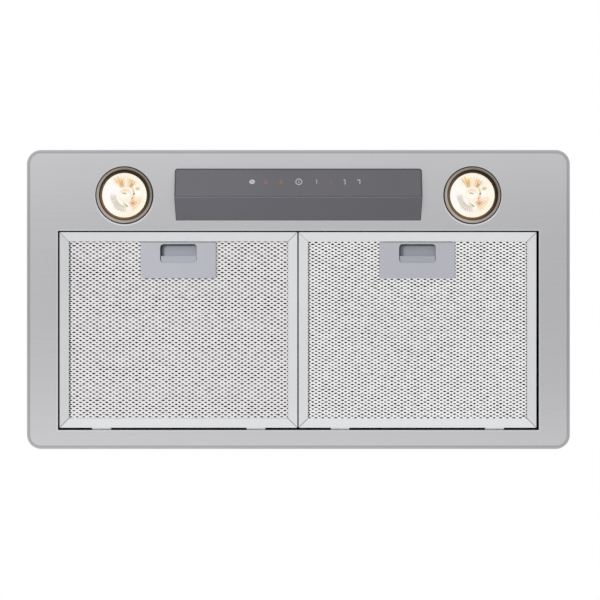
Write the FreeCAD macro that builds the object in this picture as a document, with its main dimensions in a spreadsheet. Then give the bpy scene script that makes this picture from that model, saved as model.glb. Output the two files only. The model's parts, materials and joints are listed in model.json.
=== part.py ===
import FreeCAD, Part
import math
import os
import Sketcher
from FreeCAD import Placement, Rotation, Vector

# Range hood insert: a stainless face plate with two grease filters, two lamps and a
# touch control, under a galvanised housing that holds a double-inlet blower.
#
# Frame: millimetres. The origin is the middle of the cabinet's underside, on which the
# face plate's rim seats. +Z is up into the cabinet, -Y is the front (the control's side)
# and +X is to the right. "Low, high" pairs give a piece's two ends along one axis.

# Driving dimensions. Each one is written once, in millimetres unless its name says
# count or degrees.
SIZES = {
    # face plate
    "plate_width": 527.4,
    "plate_depth": 290.6,
    "plate_drop": 6.0,
    "plate_corner": 14.0,
    "plate_sheet": 0.8,
    "rim_bend": 3.0,
    "rim_return": 12.8,
    "rim_relief": 1.6,
    "window_side": 14.0,
    "window_setback": 64.5,
    "window_margin": 4.5,
    "window_lip": 5.0,
    # grease filters
    "filter_thick": 8.5,
    "filter_split": 1.3,
    "filter_shift": 0.4,
    "side_gap": 1.95,
    "front_gap": 1.3,
    "rear_gap": 2.2,
    "filter_recess": 0.5,
    "bar_face": 9.0,
    "bar_sheet": 0.7,
    "bar_seam": 0.25,
    "mesh_sheet": 0.8,
    "mesh_tuck": 5.0,
    "mesh_strand": 2.4,
    "mesh_column_count": 17.0,
    "mesh_row_count": 15.0,
    "core_thick": 5.5,
    "tab_width": 18.0,
    "tab_offset": 75.0,
    "tab_sheet": 1.0,
    "tab_reach": 4.7,
    "tab_rest": 0.2,
    "tab_tail": 1.0,
    # filter latches
    "latch_width": 73.4,
    "latch_depth": 35.2,
    "latch_gap": 0.5,
    "latch_clear": 0.3,
    "latch_wall": 0.9,
    "latch_corner": 2.0,
    "recess_width": 35.6,
    "recess_depth": 18.2,
    "recess_border": 2.0,
    "recess_corner": 3.4,
    "pocket_depth": 11.5,
    "grip_width": 42.0,
    "grip_clear": 0.4,
    "grip_cover": 1.6,
    "slider_sheet": 1.7,
    "slider_play": 0.2,
    "tongue_width": 16.0,
    "tongue_short": 0.5,
    "latch_coil": 4.0,
    "latch_wire": 0.6,
    "latch_turn_count": 7.0,
    # lamps
    "lamp_inset": 78.4,
    "lamp_line": 30.0,
    "bezel_width": 56.2,
    "bezel_mouth": 48.4,
    "bezel_sheet": 1.4,
    "bezel_edge": 0.8,
    "mouth_edge": 0.5,
    "bezel_clear": 0.3,
    "bezel_sleeve": 53.0,
    "bezel_bore": 51.0,
    "bezel_height": 12.0,
    "lamp_width": 50.0,
    "lamp_rest": 0.2,
    "pin_clear": 0.3,
    "lens_width": 43.9,
    "lens_thick": 2.4,
    "lens_dome": 3.0,
    "lens_shoulder": 1.0,
    "rim_height": 4.0,
    "bowl_width": 46.5,
    "bowl_height": 12.0,
    "waist_width": 36.0,
    "waist_height": 22.0,
    "lamp_length": 46.0,
    "lamp_neck": 20.0,
    "neck_step": 1.5,
    "lamp_base": 14.0,
    "pin_spread": 10.0,
    "pin_head": 5.0,
    "pin_stem": 3.0,
    "pin_length": 6.6,
    "pin_cap": 2.0,
    "holder_width": 32.0,
    "holder_height": 17.0,
    "slot_clear": 0.4,
    "slot_over": 1.0,
    "bracket_sheet": 1.2,
    "bracket_width": 26.0,
    "bracket_span": 62.0,
    "bracket_foot": 9.0,
    # control body
    "control_gap": 49.95,
    "control_front": 5.2,
    "control_ridge": 33.4,
    "control_rear": 54.5,
    "front_drop": 10.0,
    "ridge_drop": 16.4,
    "control_wall": 2.2,
    "control_floor": 4.4,
    "control_end": 8.8,
    "control_land": 6.6,
    "control_corner": 2.4,
    "control_screw_inset": 5.3,
    "touch_margin": 1.3,
    "touch_sheet": 1.2,
    "board_end": 23.65,
    "board_depth": 17.0,
    "board_shift": 2.0,
    "board_sheet": 1.6,
    "board_stand": 2.0,
    "post_width": 6.0,
    "post_length": 8.0,
    "post_start": 4.0,
    "post_end": 12.0,
    "chip_width": 14.0,
    "chip_length": 10.0,
    "chip_start": 3.0,
    "chip_thick": 1.6,
    # housing
    "cover_side": 16.7,
    "cover_line": 14.3,
    "housing_height": 214.0,
    "housing_sheet": 0.8,
    "housing_bend": 2.5,
    "housing_seam": 6.0,
    "foot_reach": 8.0,
    "end_flange": 12.0,
    "screw_edge": 6.0,
    "screw_margin": 24.0,
    "screw_hole": 4.2,
    "screw_shank": 4.0,
    "screw_head": 7.5,
    "screw_cap": 2.2,
    "screw_length": 7.0,
    "side_hole": 5.5,
    "side_hole_height": 40.0,
    "side_hole_pitch": 160.0,
    # blower
    "axis_setback": -20.0,
    "axis_height": 118.0,
    "scroll_step": 10.0,
    "scroll_start": 66.0,
    "scroll_width": 112.0,
    "scroll_sheet": 0.8,
    "inlet_bore": 92.0,
    "inlet_lip": 5.0,
    "inlet_flange": 12.0,
    "wheel_width": 104.0,
    "wheel_outer": 110.0,
    "wheel_inner": 92.0,
    "wheel_ring": 3.0,
    "blade_sheet": 0.9,
    "blade_count": 32.0,
    "blade_root": 0.5,
    "blade_tip": 1.1,
    "blade_lean": 4.5,
    "blade_belly": 1.35,
    "hub_sheet": 3.0,
    "hub_boss": 22.0,
    "hub_length": 16.0,
    "shaft_width": 8.0,
    "shaft_fit": 0.05,
    "shaft_nose": 2.0,
    "shaft_tail": 0.5,
    "shaft_gap": 1.0,
    "nut_width": 14.0,
    "nut_thick": 5.0,
    # motor
    "motor_width": 74.0,
    "motor_length": 62.0,
    "motor_wall": 2.0,
    "motor_start": 14.0,
    "bearing_width": 16.0,
    "bearing_thick": 5.0,
    "stator_bore": 40.0,
    "stator_length": 34.0,
    "air_gap": 0.5,
    "arm_sheet": 1.5,
    "arm_width": 12.0,
    "arm_reach": 60.0,
    "mount_width": 12.0,
    "mount_height": 9.0,
    # duct collar and damper
    "collar_width": 149.0,
    "collar_sheet": 1.2,
    "collar_height": 45.0,
    "collar_flange": 15.0,
    "collar_base": 1.5,
    "ledge_height": 9.5,
    "ledge_reach": 3.3,
    "flap_gap": 1.5,
    "flap_sheet": 1.2,
    "flap_rest": 0.3,
    "flap_offset": 5.0,
    "knuckle_width": 6.0,
    "knuckle_length": 120.0,
    "knuckle_clear": 0.5,
    "damper_pin": 3.0,
    # electrics under the roof
    "capacitor_width": 30.0,
    "capacitor_length": 58.0,
    "capacitor_inset": 88.0,
    "capacitor_line": 71.0,
    "clip_width": 14.0,
    "lug_length": 7.0,
    "lug_width": 6.0,
    "lug_sheet": 1.0,
    "box_width": 90.0,
    "box_depth": 84.0,
    "box_height": 46.0,
    "box_wall": 2.0,
    "box_corner": 4.0,
    "box_inset": 59.0,
    "box_line": 65.0,
    "cover_sheet": 2.0,
    "cover_clear": 0.1,
    "power_board_clear": 0.6,
    "relay_count": 4.0,
    "relay_pitch": 20.0,
    "relay_width": 15.0,
    "relay_depth": 19.0,
    "relay_height": 15.0,
    "relay_line": 18.0,
    "strip_width": 56.0,
    "strip_depth": 12.0,
    "strip_line": 24.0,
    "gland_thread": 16.0,
    "gland_bore": 8.0,
    "gland_nut": 22.0,
    "gland_hexagon": 6.4,
    "gland_height": 16.0,
    "gland_tail": 6.0,
}

document = FreeCAD.newDocument("range_hood_insert")
nodes = {}


class Size:
    """A length that holds its number and the sheet formula that it comes from."""

    def __init__(self, number, formula):
        self.number = number
        self.formula = formula

    def __add__(self, other):
        other = as_size(other)
        return Size(self.number + other.number, "(%s + %s)" % (self.formula, other.formula))

    def __sub__(self, other):
        other = as_size(other)
        return Size(self.number - other.number, "(%s - %s)" % (self.formula, other.formula))

    def __mul__(self, other):
        other = as_size(other)
        return Size(self.number * other.number, "(%s * %s)" % (self.formula, other.formula))

    def __truediv__(self, other):
        other = as_size(other)
        return Size(self.number / other.number, "(%s / %s)" % (self.formula, other.formula))

    def __neg__(self):
        return Size(-self.number, "(-1 * %s)" % self.formula)

    def __radd__(self, other):
        return as_size(other) + self

    def __rsub__(self, other):
        return as_size(other) - self

    def __rmul__(self, other):
        return as_size(other) * self

    def __float__(self):
        return float(self.number)


def as_size(value):
    """A plain number as a Size, or the Size itself."""
    return value if isinstance(value, Size) else Size(float(value), repr(float(value)))


def slope_angle(rise, run):
    """Angle in degrees of a slope, as a Size."""
    ratio = as_size(rise) / run
    return Size(math.degrees(math.atan(ratio.number)), "atan(%s)" % ratio.formula)


def hypotenuse(one, other):
    """Longest side over two square ones, as a Size."""
    total = as_size(one) * one + as_size(other) * other
    return Size(math.sqrt(total.number), "sqrt(%s)" % total.formula)


class SizeTable:
    """The driving dimensions, each an attribute that is a Size."""

    def __init__(self, sizes):
        sheet = document.addObject("Spreadsheet::Sheet", "Sizes")
        for row, (name, number) in enumerate(sizes.items(), start=1):
            sheet.set("A%d" % row, name)
            sheet.set("B%d" % row, str(number))
            sheet.setAlias("B%d" % row, name)
            setattr(self, name, Size(number, "Sizes." + name))
        document.recompute()


size = SizeTable(SIZES)


def bind(piece, name, value):
    """Ties a property to a formula of the sheet."""
    piece.setExpression(name, as_size(value).formula)


def place(piece, x=0.0, y=0.0, z=0.0):
    """Moves a piece to a place that follows the sheet."""
    for name, value in (("x", x), ("y", y), ("z", z)):
        bind(piece, "Placement.Base." + name, value)
    return piece


def node(piece, label):
    """Names a finished sub-part; the name is also its file's name."""
    piece.Label = label
    nodes[label] = piece
    return piece


def middle(low, high):
    """Half-way between two places."""
    return (as_size(low) + high) / 2


def around(centre, width):
    """Low and high place of a width about a centre."""
    return as_size(centre) - as_size(width) / 2, as_size(centre) + as_size(width) / 2


# ---- primitives and booleans ----

TURNS = {
    "x": Rotation(Vector(0, 1, 0), 90),
    "y": Rotation(Vector(1, 0, 0), -90),
    "z": Rotation(),
}


def block(name, x, y, z):
    """Box between a low and a high place on each axis."""
    piece = document.addObject("Part::Box", name)
    bind(piece, "Length", as_size(x[1]) - x[0])
    bind(piece, "Width", as_size(y[1]) - y[0])
    bind(piece, "Height", as_size(z[1]) - z[0])
    return place(piece, x[0], y[0], z[0])


def rod(name, width, x, y, z):
    """Round rod along the axis whose place is a low and high pair."""
    piece = document.addObject("Part::Cylinder", name)
    spots = {"x": x, "y": y, "z": z}
    axis = next(key for key, spot in spots.items() if isinstance(spot, tuple))
    low, high = spots[axis]
    bind(piece, "Radius", as_size(width) / 2)
    bind(piece, "Height", as_size(high) - low)
    piece.Placement = Placement(Vector(), TURNS[axis])
    spots[axis] = low
    return place(piece, spots["x"], spots["y"], spots["z"])


def fuse(name, pieces):
    """One solid out of touching or overlapping pieces."""
    piece = document.addObject("Part::MultiFuse", name)
    piece.Shapes = pieces
    piece.Refine = True
    return piece


def group(name, pieces):
    """Separate solids kept together as one sub-part."""
    piece = document.addObject("Part::Compound", name)
    piece.Links = pieces
    return piece


def cut(name, base, tools):
    """Base with every tool taken away."""
    piece = document.addObject("Part::Cut", name)
    piece.Base = base
    piece.Tool = tools[0] if len(tools) == 1 else group(name + "_tools", tools)
    return piece


def pipe(name, outer, bore, x, y, z):
    """Round tube: a rod with a rod taken out."""
    return cut(name, rod(name + "_outside", outer, x, y, z), [rod(name + "_bore", bore, x, y, z)])


# ---- sketches and body features ----


def new_body(label):
    """Empty body that becomes the sub-part of that name."""
    return node(document.addObject("PartDesign::Body", label), label)


def new_sketch(owner, role, offset=0.0):
    """Sketch on one of the body's own origin planes, moved along the plane's normal."""
    drawing = owner.newObject("Sketcher::SketchObject", owner.Name + "_sketch")
    plane = next(item for item in owner.Origin.OriginFeatures if item.Role == role)
    drawing.AttachmentSupport = [(plane, "")]
    drawing.MapMode = "FlatFace"
    bind(drawing, "AttachmentOffset.Base.z", offset)
    return drawing


def constrain(drawing, kind, *details):
    """Adds a constraint; a Size at the end ties it to the sheet."""
    target = details[-1] if isinstance(details[-1], Size) else None
    if target is not None:
        details = details[:-1] + (target.number,)
    index = drawing.addConstraint(Sketcher.Constraint(kind, *details))
    if target is not None:
        drawing.setExpression("Constraints[%d]" % index, target.formula)


def outline(drawing, corners):
    """Closed outline of straight lines through (across, up) corners."""
    first = drawing.GeometryCount
    corners = [(as_size(across), as_size(up)) for across, up in corners]
    points = [Vector(float(across), float(up), 0) for across, up in corners]
    for start, end in zip(points, points[1:] + points[:1]):
        drawing.addGeometry(Part.LineSegment(start, end), False)
    for index, (across, up) in enumerate(corners):
        line = first + index
        after = first + (index + 1) % len(corners)
        constrain(drawing, "Coincident", line, 2, after, 1)
        constrain(drawing, "DistanceX", line, 1, across)
        constrain(drawing, "DistanceY", line, 1, up)


def rectangle(drawing, across, up):
    """Square-cornered rectangle between two low and high pairs."""
    outline(drawing, [(across[0], up[0]), (across[1], up[0]), (across[1], up[1]), (across[0], up[1])])


def circle(drawing, across, up, width):
    """Circle by its centre and its width."""
    across, up, radius = as_size(across), as_size(up), as_size(width) / 2
    centre = Vector(float(across), float(up), 0)
    index = drawing.addGeometry(Part.Circle(centre, Vector(0, 0, 1), float(radius)), False)
    constrain(drawing, "DistanceX", index, 3, across)
    constrain(drawing, "DistanceY", index, 3, up)
    constrain(drawing, "Radius", index, radius)


def rounded(drawing, across, up, radius):
    """Rectangle with four equal round corners."""
    left, right = as_size(across[0]), as_size(across[1])
    bottom, top = as_size(up[0]), as_size(up[1])
    r = float(radius)
    x0, x1, y0, y1 = float(left), float(right), float(bottom), float(top)
    lines = [
        (Vector(x0 + r, y0, 0), Vector(x1 - r, y0, 0)),
        (Vector(x1, y0 + r, 0), Vector(x1, y1 - r, 0)),
        (Vector(x1 - r, y1, 0), Vector(x0 + r, y1, 0)),
        (Vector(x0, y1 - r, 0), Vector(x0, y0 + r, 0)),
    ]
    centres = [(x1 - r, y0 + r), (x1 - r, y1 - r), (x0 + r, y1 - r), (x0 + r, y0 + r)]
    first = drawing.GeometryCount
    for start, end in lines:
        drawing.addGeometry(Part.LineSegment(start, end), False)
    for quarter, (x, y) in enumerate(centres):
        round_edge = Part.Circle(Vector(x, y, 0), Vector(0, 0, 1), r)
        start = math.radians(90 * quarter - 90)
        drawing.addGeometry(Part.ArcOfCircle(round_edge, start, start + math.pi / 2), False)
    for quarter in range(4):
        arc = first + 4 + quarter
        constrain(drawing, "Tangent", first + quarter, 2, arc, 1)
        constrain(drawing, "Tangent", arc, 2, first + (quarter + 1) % 4, 1)
    for quarter in range(1, 4):
        constrain(drawing, "Equal", first + 4, first + 4 + quarter)
    constrain(drawing, "Horizontal", first)
    constrain(drawing, "Horizontal", first + 2)
    constrain(drawing, "Vertical", first + 1)
    constrain(drawing, "Vertical", first + 3)
    constrain(drawing, "DistanceY", first, 1, bottom)
    constrain(drawing, "DistanceX", first + 1, 1, right)
    constrain(drawing, "DistanceY", first + 2, 1, top)
    constrain(drawing, "DistanceX", first + 3, 1, left)
    constrain(drawing, "Radius", first + 4, as_size(radius))


def pad(owner, drawing, length, symmetric=False):
    """Raises a sketch along its normal, or to both sides."""
    feature = owner.newObject("PartDesign::Pad", owner.Name + "_pad")
    feature.Profile = drawing
    feature.SideType = "Symmetric" if symmetric else "One side"
    bind(feature, "Length", length)
    owner.Tip = feature
    return feature


def pocket(owner, drawing, depth=None):
    """Cuts a sketch along its normal by a depth, or right through both ways."""
    feature = owner.newObject("PartDesign::Pocket", owner.Name + "_pocket")
    feature.Profile = drawing
    if depth is None:
        feature.Type = "ThroughAll"
        feature.SideType = "Symmetric"
    else:
        feature.Reversed = True
        bind(feature, "Length", depth)
    owner.Tip = feature
    return feature


def revolve(owner, drawing, axis):
    """Turns a sketch once about its own vertical or horizontal axis."""
    feature = owner.newObject("PartDesign::Revolution", owner.Name + "_turned")
    feature.Profile = drawing
    feature.ReferenceAxis = (drawing, [axis])
    feature.Angle = 360.0
    owner.Tip = feature
    return feature


def turned(label, corners, plane="XZ_Plane", axis="V_Axis"):
    """Body of revolution from an outline beside its axis."""
    owner = new_body(label)
    drawing = new_sketch(owner, plane)
    outline(drawing, corners)
    revolve(owner, drawing, axis)
    return owner


def round_off(owner, radius, chosen):
    """Fillets the edges of the body's last feature for which chosen(edge) is true."""
    document.recompute()
    base = owner.Tip
    names = ["Edge%d" % number for number, edge in enumerate(base.Shape.Edges, start=1) if chosen(edge)]
    feature = owner.newObject("PartDesign::Fillet", owner.Name + "_fillet")
    feature.Base = (base, names)
    bind(feature, "Radius", radius)
    owner.Tip = feature
    return feature


def along(edge, axis):
    """True for a straight edge that runs along the x, y or z axis."""
    ends = [vertex.Point for vertex in edge.Vertexes]
    if len(ends) != 2 or not isinstance(edge.Curve, Part.Line):
        return False
    run = ends[1] - ends[0]
    return abs(getattr(run, axis)) > 0.999 * run.Length


def spot(edge):
    """Middle of an edge's box."""
    return edge.BoundBox.Center


def at_level(edge, level):
    """True for an edge that lies flat at a height."""
    return near(edge.BoundBox.ZMin, level) and near(edge.BoundBox.ZMax, level)


def near(one, other, reach=0.05):
    """True where two places agree."""
    return abs(float(one) - float(other)) < reach


# ---- places that several pieces share ----

face = -size.plate_drop
plate_top = face + size.plate_sheet
plate_x = around(0, size.plate_width)
plate_y = around(0, size.plate_depth)

housing_end_x = plate_x[1] - size.cover_side
housing_width = housing_end_x * 2
housing_y = (plate_y[0] + size.cover_line, plate_y[1] - size.cover_line)
roof = size.housing_height
under_roof = roof - size.housing_sheet

window_x = around(0, (housing_end_x - size.window_side) * 2)
window_y = (housing_y[0] + size.window_setback, housing_y[1] - size.window_margin)
lip_top = face + size.window_lip

filter_width = (window_x[1] - window_x[0] - size.filter_split) / 2 - size.side_gap
filter_y = (window_y[0] + size.front_gap, window_y[1] - size.rear_gap)
filter_z = (face + size.filter_recess, face + size.filter_recess + size.filter_thick)
filter_step = (filter_width + size.filter_split) / 2
filter_centres = {"left": -filter_step - size.filter_shift, "right": filter_step - size.filter_shift}

lamp_x = housing_end_x - size.lamp_inset
lamp_centres = {"left": -lamp_x, "right": lamp_x}
lamp_y = housing_y[0] + size.lamp_line
lamp_front = face + size.lamp_rest

control_width = (lamp_x - size.control_gap) * 2
control_front = housing_y[0] + size.control_front
control_ridge = housing_y[0] + size.control_ridge
control_rear = housing_y[0] + size.control_rear

box_x = size.box_inset - housing_end_x
box_y = housing_y[0] + size.box_line

axis_y = size.axis_setback
axis_z = size.axis_height
scroll_front = axis_y - size.scroll_step / 2
scroll_mouth = axis_z - size.scroll_step / 2 + size.scroll_start
scroll_rear = axis_y + size.scroll_step / 2 + size.scroll_start + size.scroll_step * 2
collar_y = middle(scroll_front, scroll_rear)


def face_plate():
    """Stainless plate with a folded rim, a lipped window and the openings behind its fittings."""
    owner = new_body("face_plate")
    drawing = new_sketch(owner, "XY_Plane", face)
    rounded(drawing, plate_x, plate_y, size.plate_corner)
    pad(owner, drawing, size.plate_drop)
    inside = size.plate_sheet
    hollow_x = (plate_x[0] + inside, plate_x[1] - inside)
    hollow_y = (plate_y[0] + inside, plate_y[1] - inside)
    drawing = new_sketch(owner, "XY_Plane", plate_top)
    rounded(drawing, hollow_x, hollow_y, size.plate_corner - inside)
    pocket(owner, drawing, size.plate_drop - inside * 2)
    round_off(owner, size.rim_bend - inside, lambda edge: at_level(edge, plate_top))
    round_off(owner, size.rim_bend, lambda edge: at_level(edge, face))
    drawing = new_sketch(owner, "XY_Plane", -inside)
    reach = size.rim_return
    rounded(
        drawing,
        (plate_x[0] + reach, plate_x[1] - reach),
        (plate_y[0] + reach, plate_y[1] - reach),
        size.rim_relief,
    )
    pocket(owner, drawing, inside)

    drawing = new_sketch(owner, "XY_Plane", face)
    rectangle(
        drawing,
        (window_x[0] - inside, window_x[1] + inside),
        (window_y[0] - inside, window_y[1] + inside),
    )
    rectangle(drawing, window_x, window_y)
    pad(owner, drawing, size.window_lip)
    drawing = new_sketch(owner, "XY_Plane")
    rectangle(drawing, window_x, window_y)
    for centre in lamp_centres.values():
        circle(drawing, centre, lamp_y, size.bezel_sleeve + size.bezel_clear * 2)
    rectangle(
        drawing,
        around(0, control_width - size.control_end * 2),
        (control_front + size.control_land, control_rear - size.control_land),
    )
    for x, y in control_screw_spots():
        circle(drawing, x, y, size.screw_hole)
    pocket(owner, drawing)


def control_screw_spots():
    """Where four screws hold the control body, in its end walls' bosses."""
    x = control_width / 2 - size.control_screw_inset
    depths = (control_front + size.control_land, control_ridge + size.control_wall)
    return [(side * x, y) for side in (-1.0, 1.0) for y in depths]


def housing_screw_spots():
    """(along x, depth or height) places of the housing's screws, for its walls and its roof."""
    x = housing_end_x - size.housing_sheet - size.screw_edge
    levels = spread_out(0, under_roof, size.screw_margin)
    depths = spread_out(housing_y[0], housing_y[1], size.screw_margin)
    walls = [(side * x, level) for side in (-1.0, 1.0) for level in levels]
    tops = [(side * x, depth) for side in (-1.0, 1.0) for depth in depths]
    return walls, tops


def spread_out(low, high, margin):
    """Three even places between two ends, a margin inside them."""
    return [as_size(low) + margin, middle(low, high), as_size(high) - margin]


def housing_wall(label, turn):
    """Galvanised wall with its foot on the face plate; its top bends over to a seam with the roof."""
    owner = new_body(label)
    sheet = size.housing_sheet
    front = housing_y[0]
    foot_end = front - size.foot_reach
    seam = front + size.housing_seam
    drawing = new_sketch(owner, "YZ_Plane")
    outline(
        drawing,
        [
            (foot_end, plate_top),
            (front + sheet, plate_top),
            (front + sheet, under_roof),
            (seam, under_roof),
            (seam, roof),
            (front, roof),
            (front, plate_top + sheet),
            (foot_end, plate_top + sheet),
        ],
    )
    pad(owner, drawing, housing_width - sheet * 2, symmetric=True)
    round_off(owner, size.housing_bend, lambda edge: along_x_at(edge, front, roof))
    round_off(owner, size.housing_bend - sheet, lambda edge: along_x_at(edge, front + sheet, under_roof))
    drawing = new_sketch(owner, "XZ_Plane")
    for x, z in housing_screw_spots()[0]:
        circle(drawing, x, z, size.screw_hole)
    pocket(owner, drawing)
    owner.Placement = Placement(Vector(), Rotation(Vector(0, 0, 1), turn))


def along_x_at(edge, y, z):
    """True for a straight edge along x at a depth and a height."""
    return along(edge, "x") and near(spot(edge).y, y) and near(spot(edge).z, z)


def housing_roof():
    """Galvanised roof between the walls' seams, open over the blower and for the gland."""
    owner = new_body("housing_roof")
    sheet = size.housing_sheet
    drawing = new_sketch(owner, "XY_Plane", under_roof)
    rectangle(
        drawing,
        around(0, housing_width - sheet * 2),
        (housing_y[0] + size.housing_seam, housing_y[1] - size.housing_seam),
    )
    pad(owner, drawing, sheet)
    drawing = new_sketch(owner, "XY_Plane", under_roof)
    for x, y in housing_screw_spots()[1] + collar_screw_spots():
        circle(drawing, x, y, size.screw_hole)
    rectangle(drawing, around(0, size.scroll_width), (scroll_front, scroll_rear))
    circle(drawing, box_x, box_y, size.gland_thread)
    pocket(owner, drawing, sheet)


def housing_end(label, turn):
    """End plate with a flange inside the wrapper, a foot on the face plate and fixing holes."""
    owner = new_body(label)
    sheet = size.housing_sheet
    end = housing_end_x
    front, rear = housing_y
    inner_front, inner_rear = front + sheet, rear - sheet
    corner = size.housing_bend
    drawing = new_sketch(owner, "YZ_Plane", end - sheet)
    outline(
        drawing,
        [
            (front, plate_top),
            (rear, plate_top),
            (rear, roof - corner),
            (rear - corner, roof),
            (front + corner, roof),
            (front, roof - corner),
        ],
    )
    pad(owner, drawing, sheet)
    drawing = new_sketch(owner, "YZ_Plane", end - sheet - size.end_flange)
    outline(
        drawing,
        [
            (inner_front, plate_top),
            (inner_front + sheet, plate_top),
            (inner_front + sheet, under_roof - corner),
            (inner_front + corner, under_roof - sheet),
            (inner_rear - corner, under_roof - sheet),
            (inner_rear - sheet, under_roof - corner),
            (inner_rear - sheet, plate_top),
            (inner_rear, plate_top),
            (inner_rear, under_roof - corner),
            (inner_rear - corner, under_roof),
            (inner_front + corner, under_roof),
            (inner_front, under_roof - corner),
        ],
    )
    pad(owner, drawing, size.end_flange)
    drawing = new_sketch(owner, "XY_Plane", plate_top)
    rectangle(drawing, (end - sheet, end + size.foot_reach), housing_y)
    pad(owner, drawing, sheet)
    walls, tops = housing_screw_spots()
    drawing = new_sketch(owner, "XZ_Plane")
    for x, z in walls[len(walls) // 2:]:
        circle(drawing, x, z, size.screw_hole)
    pocket(owner, drawing)
    drawing = new_sketch(owner, "XY_Plane", under_roof - sheet)
    for x, y in tops[len(tops) // 2:]:
        circle(drawing, x, y, size.screw_hole)
    pocket(owner, drawing, sheet * 2)
    drawing = new_sketch(owner, "YZ_Plane", end - sheet)
    for y in around(0, size.side_hole_pitch):
        circle(drawing, y, size.side_hole_height, size.side_hole)
    pocket(owner, drawing, sheet)
    owner.Placement = Placement(Vector(), Rotation(Vector(0, 0, 1), turn))


def screw(name, x, y, z, axis, toward, length=size.screw_length):
    """Pan-head screw whose head's underside is at a place; its shank runs toward +1 or -1."""
    spots = {"x": x, "y": y, "z": z}
    seat = as_size(spots[axis])
    head_end = seat - toward * size.screw_cap
    shank_end = seat + toward * length
    head_spots = dict(spots, **{axis: in_order(seat, head_end)})
    shank_spots = dict(spots, **{axis: in_order(head_end, shank_end)})
    head = rod(name + "_head", size.screw_head, **head_spots)
    shank = rod(name + "_shank", size.screw_shank, **shank_spots)
    return fuse(name, [head, shank])


def in_order(one, other):
    """The lower place first."""
    return (one, other) if float(one) < float(other) else (other, one)


def housing_screws():
    """Screws that join the walls and the roof to the end plates' flanges."""
    walls, tops = housing_screw_spots()
    screws = []
    for number, (x, z) in enumerate(walls):
        screws.append(screw("front_screw_%d" % number, x, housing_y[0], z, "y", 1.0))
        screws.append(screw("rear_screw_%d" % number, x, housing_y[1], z, "y", -1.0))
    for number, (x, y) in enumerate(tops):
        screws.append(screw("roof_screw_%d" % number, x, y, roof, "z", -1.0))
    node(group("housing_screw_set", screws), "housing_screws")


def collar_screw_spots():
    """Four screws through the collar's base, on its diagonals."""
    reach = (size.collar_width + size.collar_flange) / 2 * math.sqrt(0.5)
    return [(sx * reach, collar_y + sy * reach) for sx in (-1.0, 1.0) for sy in (-1.0, 1.0)]


def damper_level():
    """Height of the damper pins' axis."""
    return roof + size.ledge_height + size.flap_rest + size.knuckle_width / 2


def duct_collar():
    """Spigot for the duct: a tube on a round base, with the ledge on which the flaps rest."""
    outer = size.collar_width / 2
    inner = outer - size.collar_sheet
    base = outer + size.collar_flange
    ledge = size.ledge_height
    owner = turned(
        "duct_collar",
        [
            (inner, roof),
            (base, roof),
            (base, roof + size.collar_base),
            (outer, roof + size.collar_base),
            (outer, roof + size.collar_height),
            (inner, roof + size.collar_height),
            (inner, roof + ledge),
            (inner - size.ledge_reach, roof + ledge),
            (inner - size.ledge_reach, roof + ledge - size.collar_sheet),
            (inner, roof + ledge - size.collar_sheet),
        ],
    )
    place(owner, 0, collar_y, 0)
    drawing = new_sketch(owner, "XY_Plane", roof)
    for x, y in collar_screw_spots():
        circle(drawing, x, y - collar_y, size.screw_hole)
    pocket(owner, drawing, size.collar_base)
    drawing = new_sketch(owner, "XZ_Plane")
    for side in (-1.0, 1.0):
        circle(drawing, side * size.flap_offset, damper_level(), size.damper_pin)
    pocket(owner, drawing)


def collar_screws():
    """Screws that hold the collar on the roof."""
    seat = roof + size.collar_base
    screws = [
        screw("collar_screw_%d" % number, x, y, seat, "z", -1.0)
        for number, (x, y) in enumerate(collar_screw_spots())
    ]
    node(group("collar_screw_set", screws), "collar_screws")


def damper_pins():
    """Two pins across the collar, on which the flaps swing."""
    span = around(collar_y, size.collar_width - size.collar_sheet)
    level = damper_level()
    pins = [
        rod("damper_pin_" + label, size.damper_pin, side * size.flap_offset, span, level)
        for label, side in (("left", -1.0), ("right", 1.0))
    ]
    node(group("damper_pin_pair", pins), "damper_pins")


def damper_flap(label, side):
    """Half-round flap with a knuckle tube that turns on its pin."""
    radius = size.collar_width / 2 - size.collar_sheet - size.flap_gap
    bottom = roof + size.ledge_height + size.flap_rest
    levels = (bottom, bottom + size.flap_sheet)
    level = damper_level()
    pin_x = side * size.flap_offset
    span = around(collar_y, radius * 2)
    knuckle_span = around(collar_y, size.knuckle_length)
    half = document.addObject("Part::Common", label + "_half")
    half.Base = rod(label + "_disc", radius * 2, 0, collar_y, levels)
    half.Tool = block(label + "_side", in_order(pin_x, pin_x + side * radius * 2), span, levels)
    knuckle = rod(label + "_knuckle", size.knuckle_width, pin_x, knuckle_span, level)
    bore = rod(label + "_bore", size.damper_pin + size.shaft_fit * 2, pin_x, span, level)
    relief_x = around(pin_x, size.knuckle_width + size.knuckle_clear * 2)
    relief_z = around(level, size.damper_pin * 2)
    reliefs = [
        block(label + "_front_relief", relief_x, (span[0], knuckle_span[0]), relief_z),
        block(label + "_rear_relief", relief_x, (knuckle_span[1], span[1]), relief_z),
    ]
    solid = fuse(label + "_solid", [half, knuckle])
    node(cut(label + "_piece", solid, [bore] + reliefs), label)


# ---- blower ----


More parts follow.
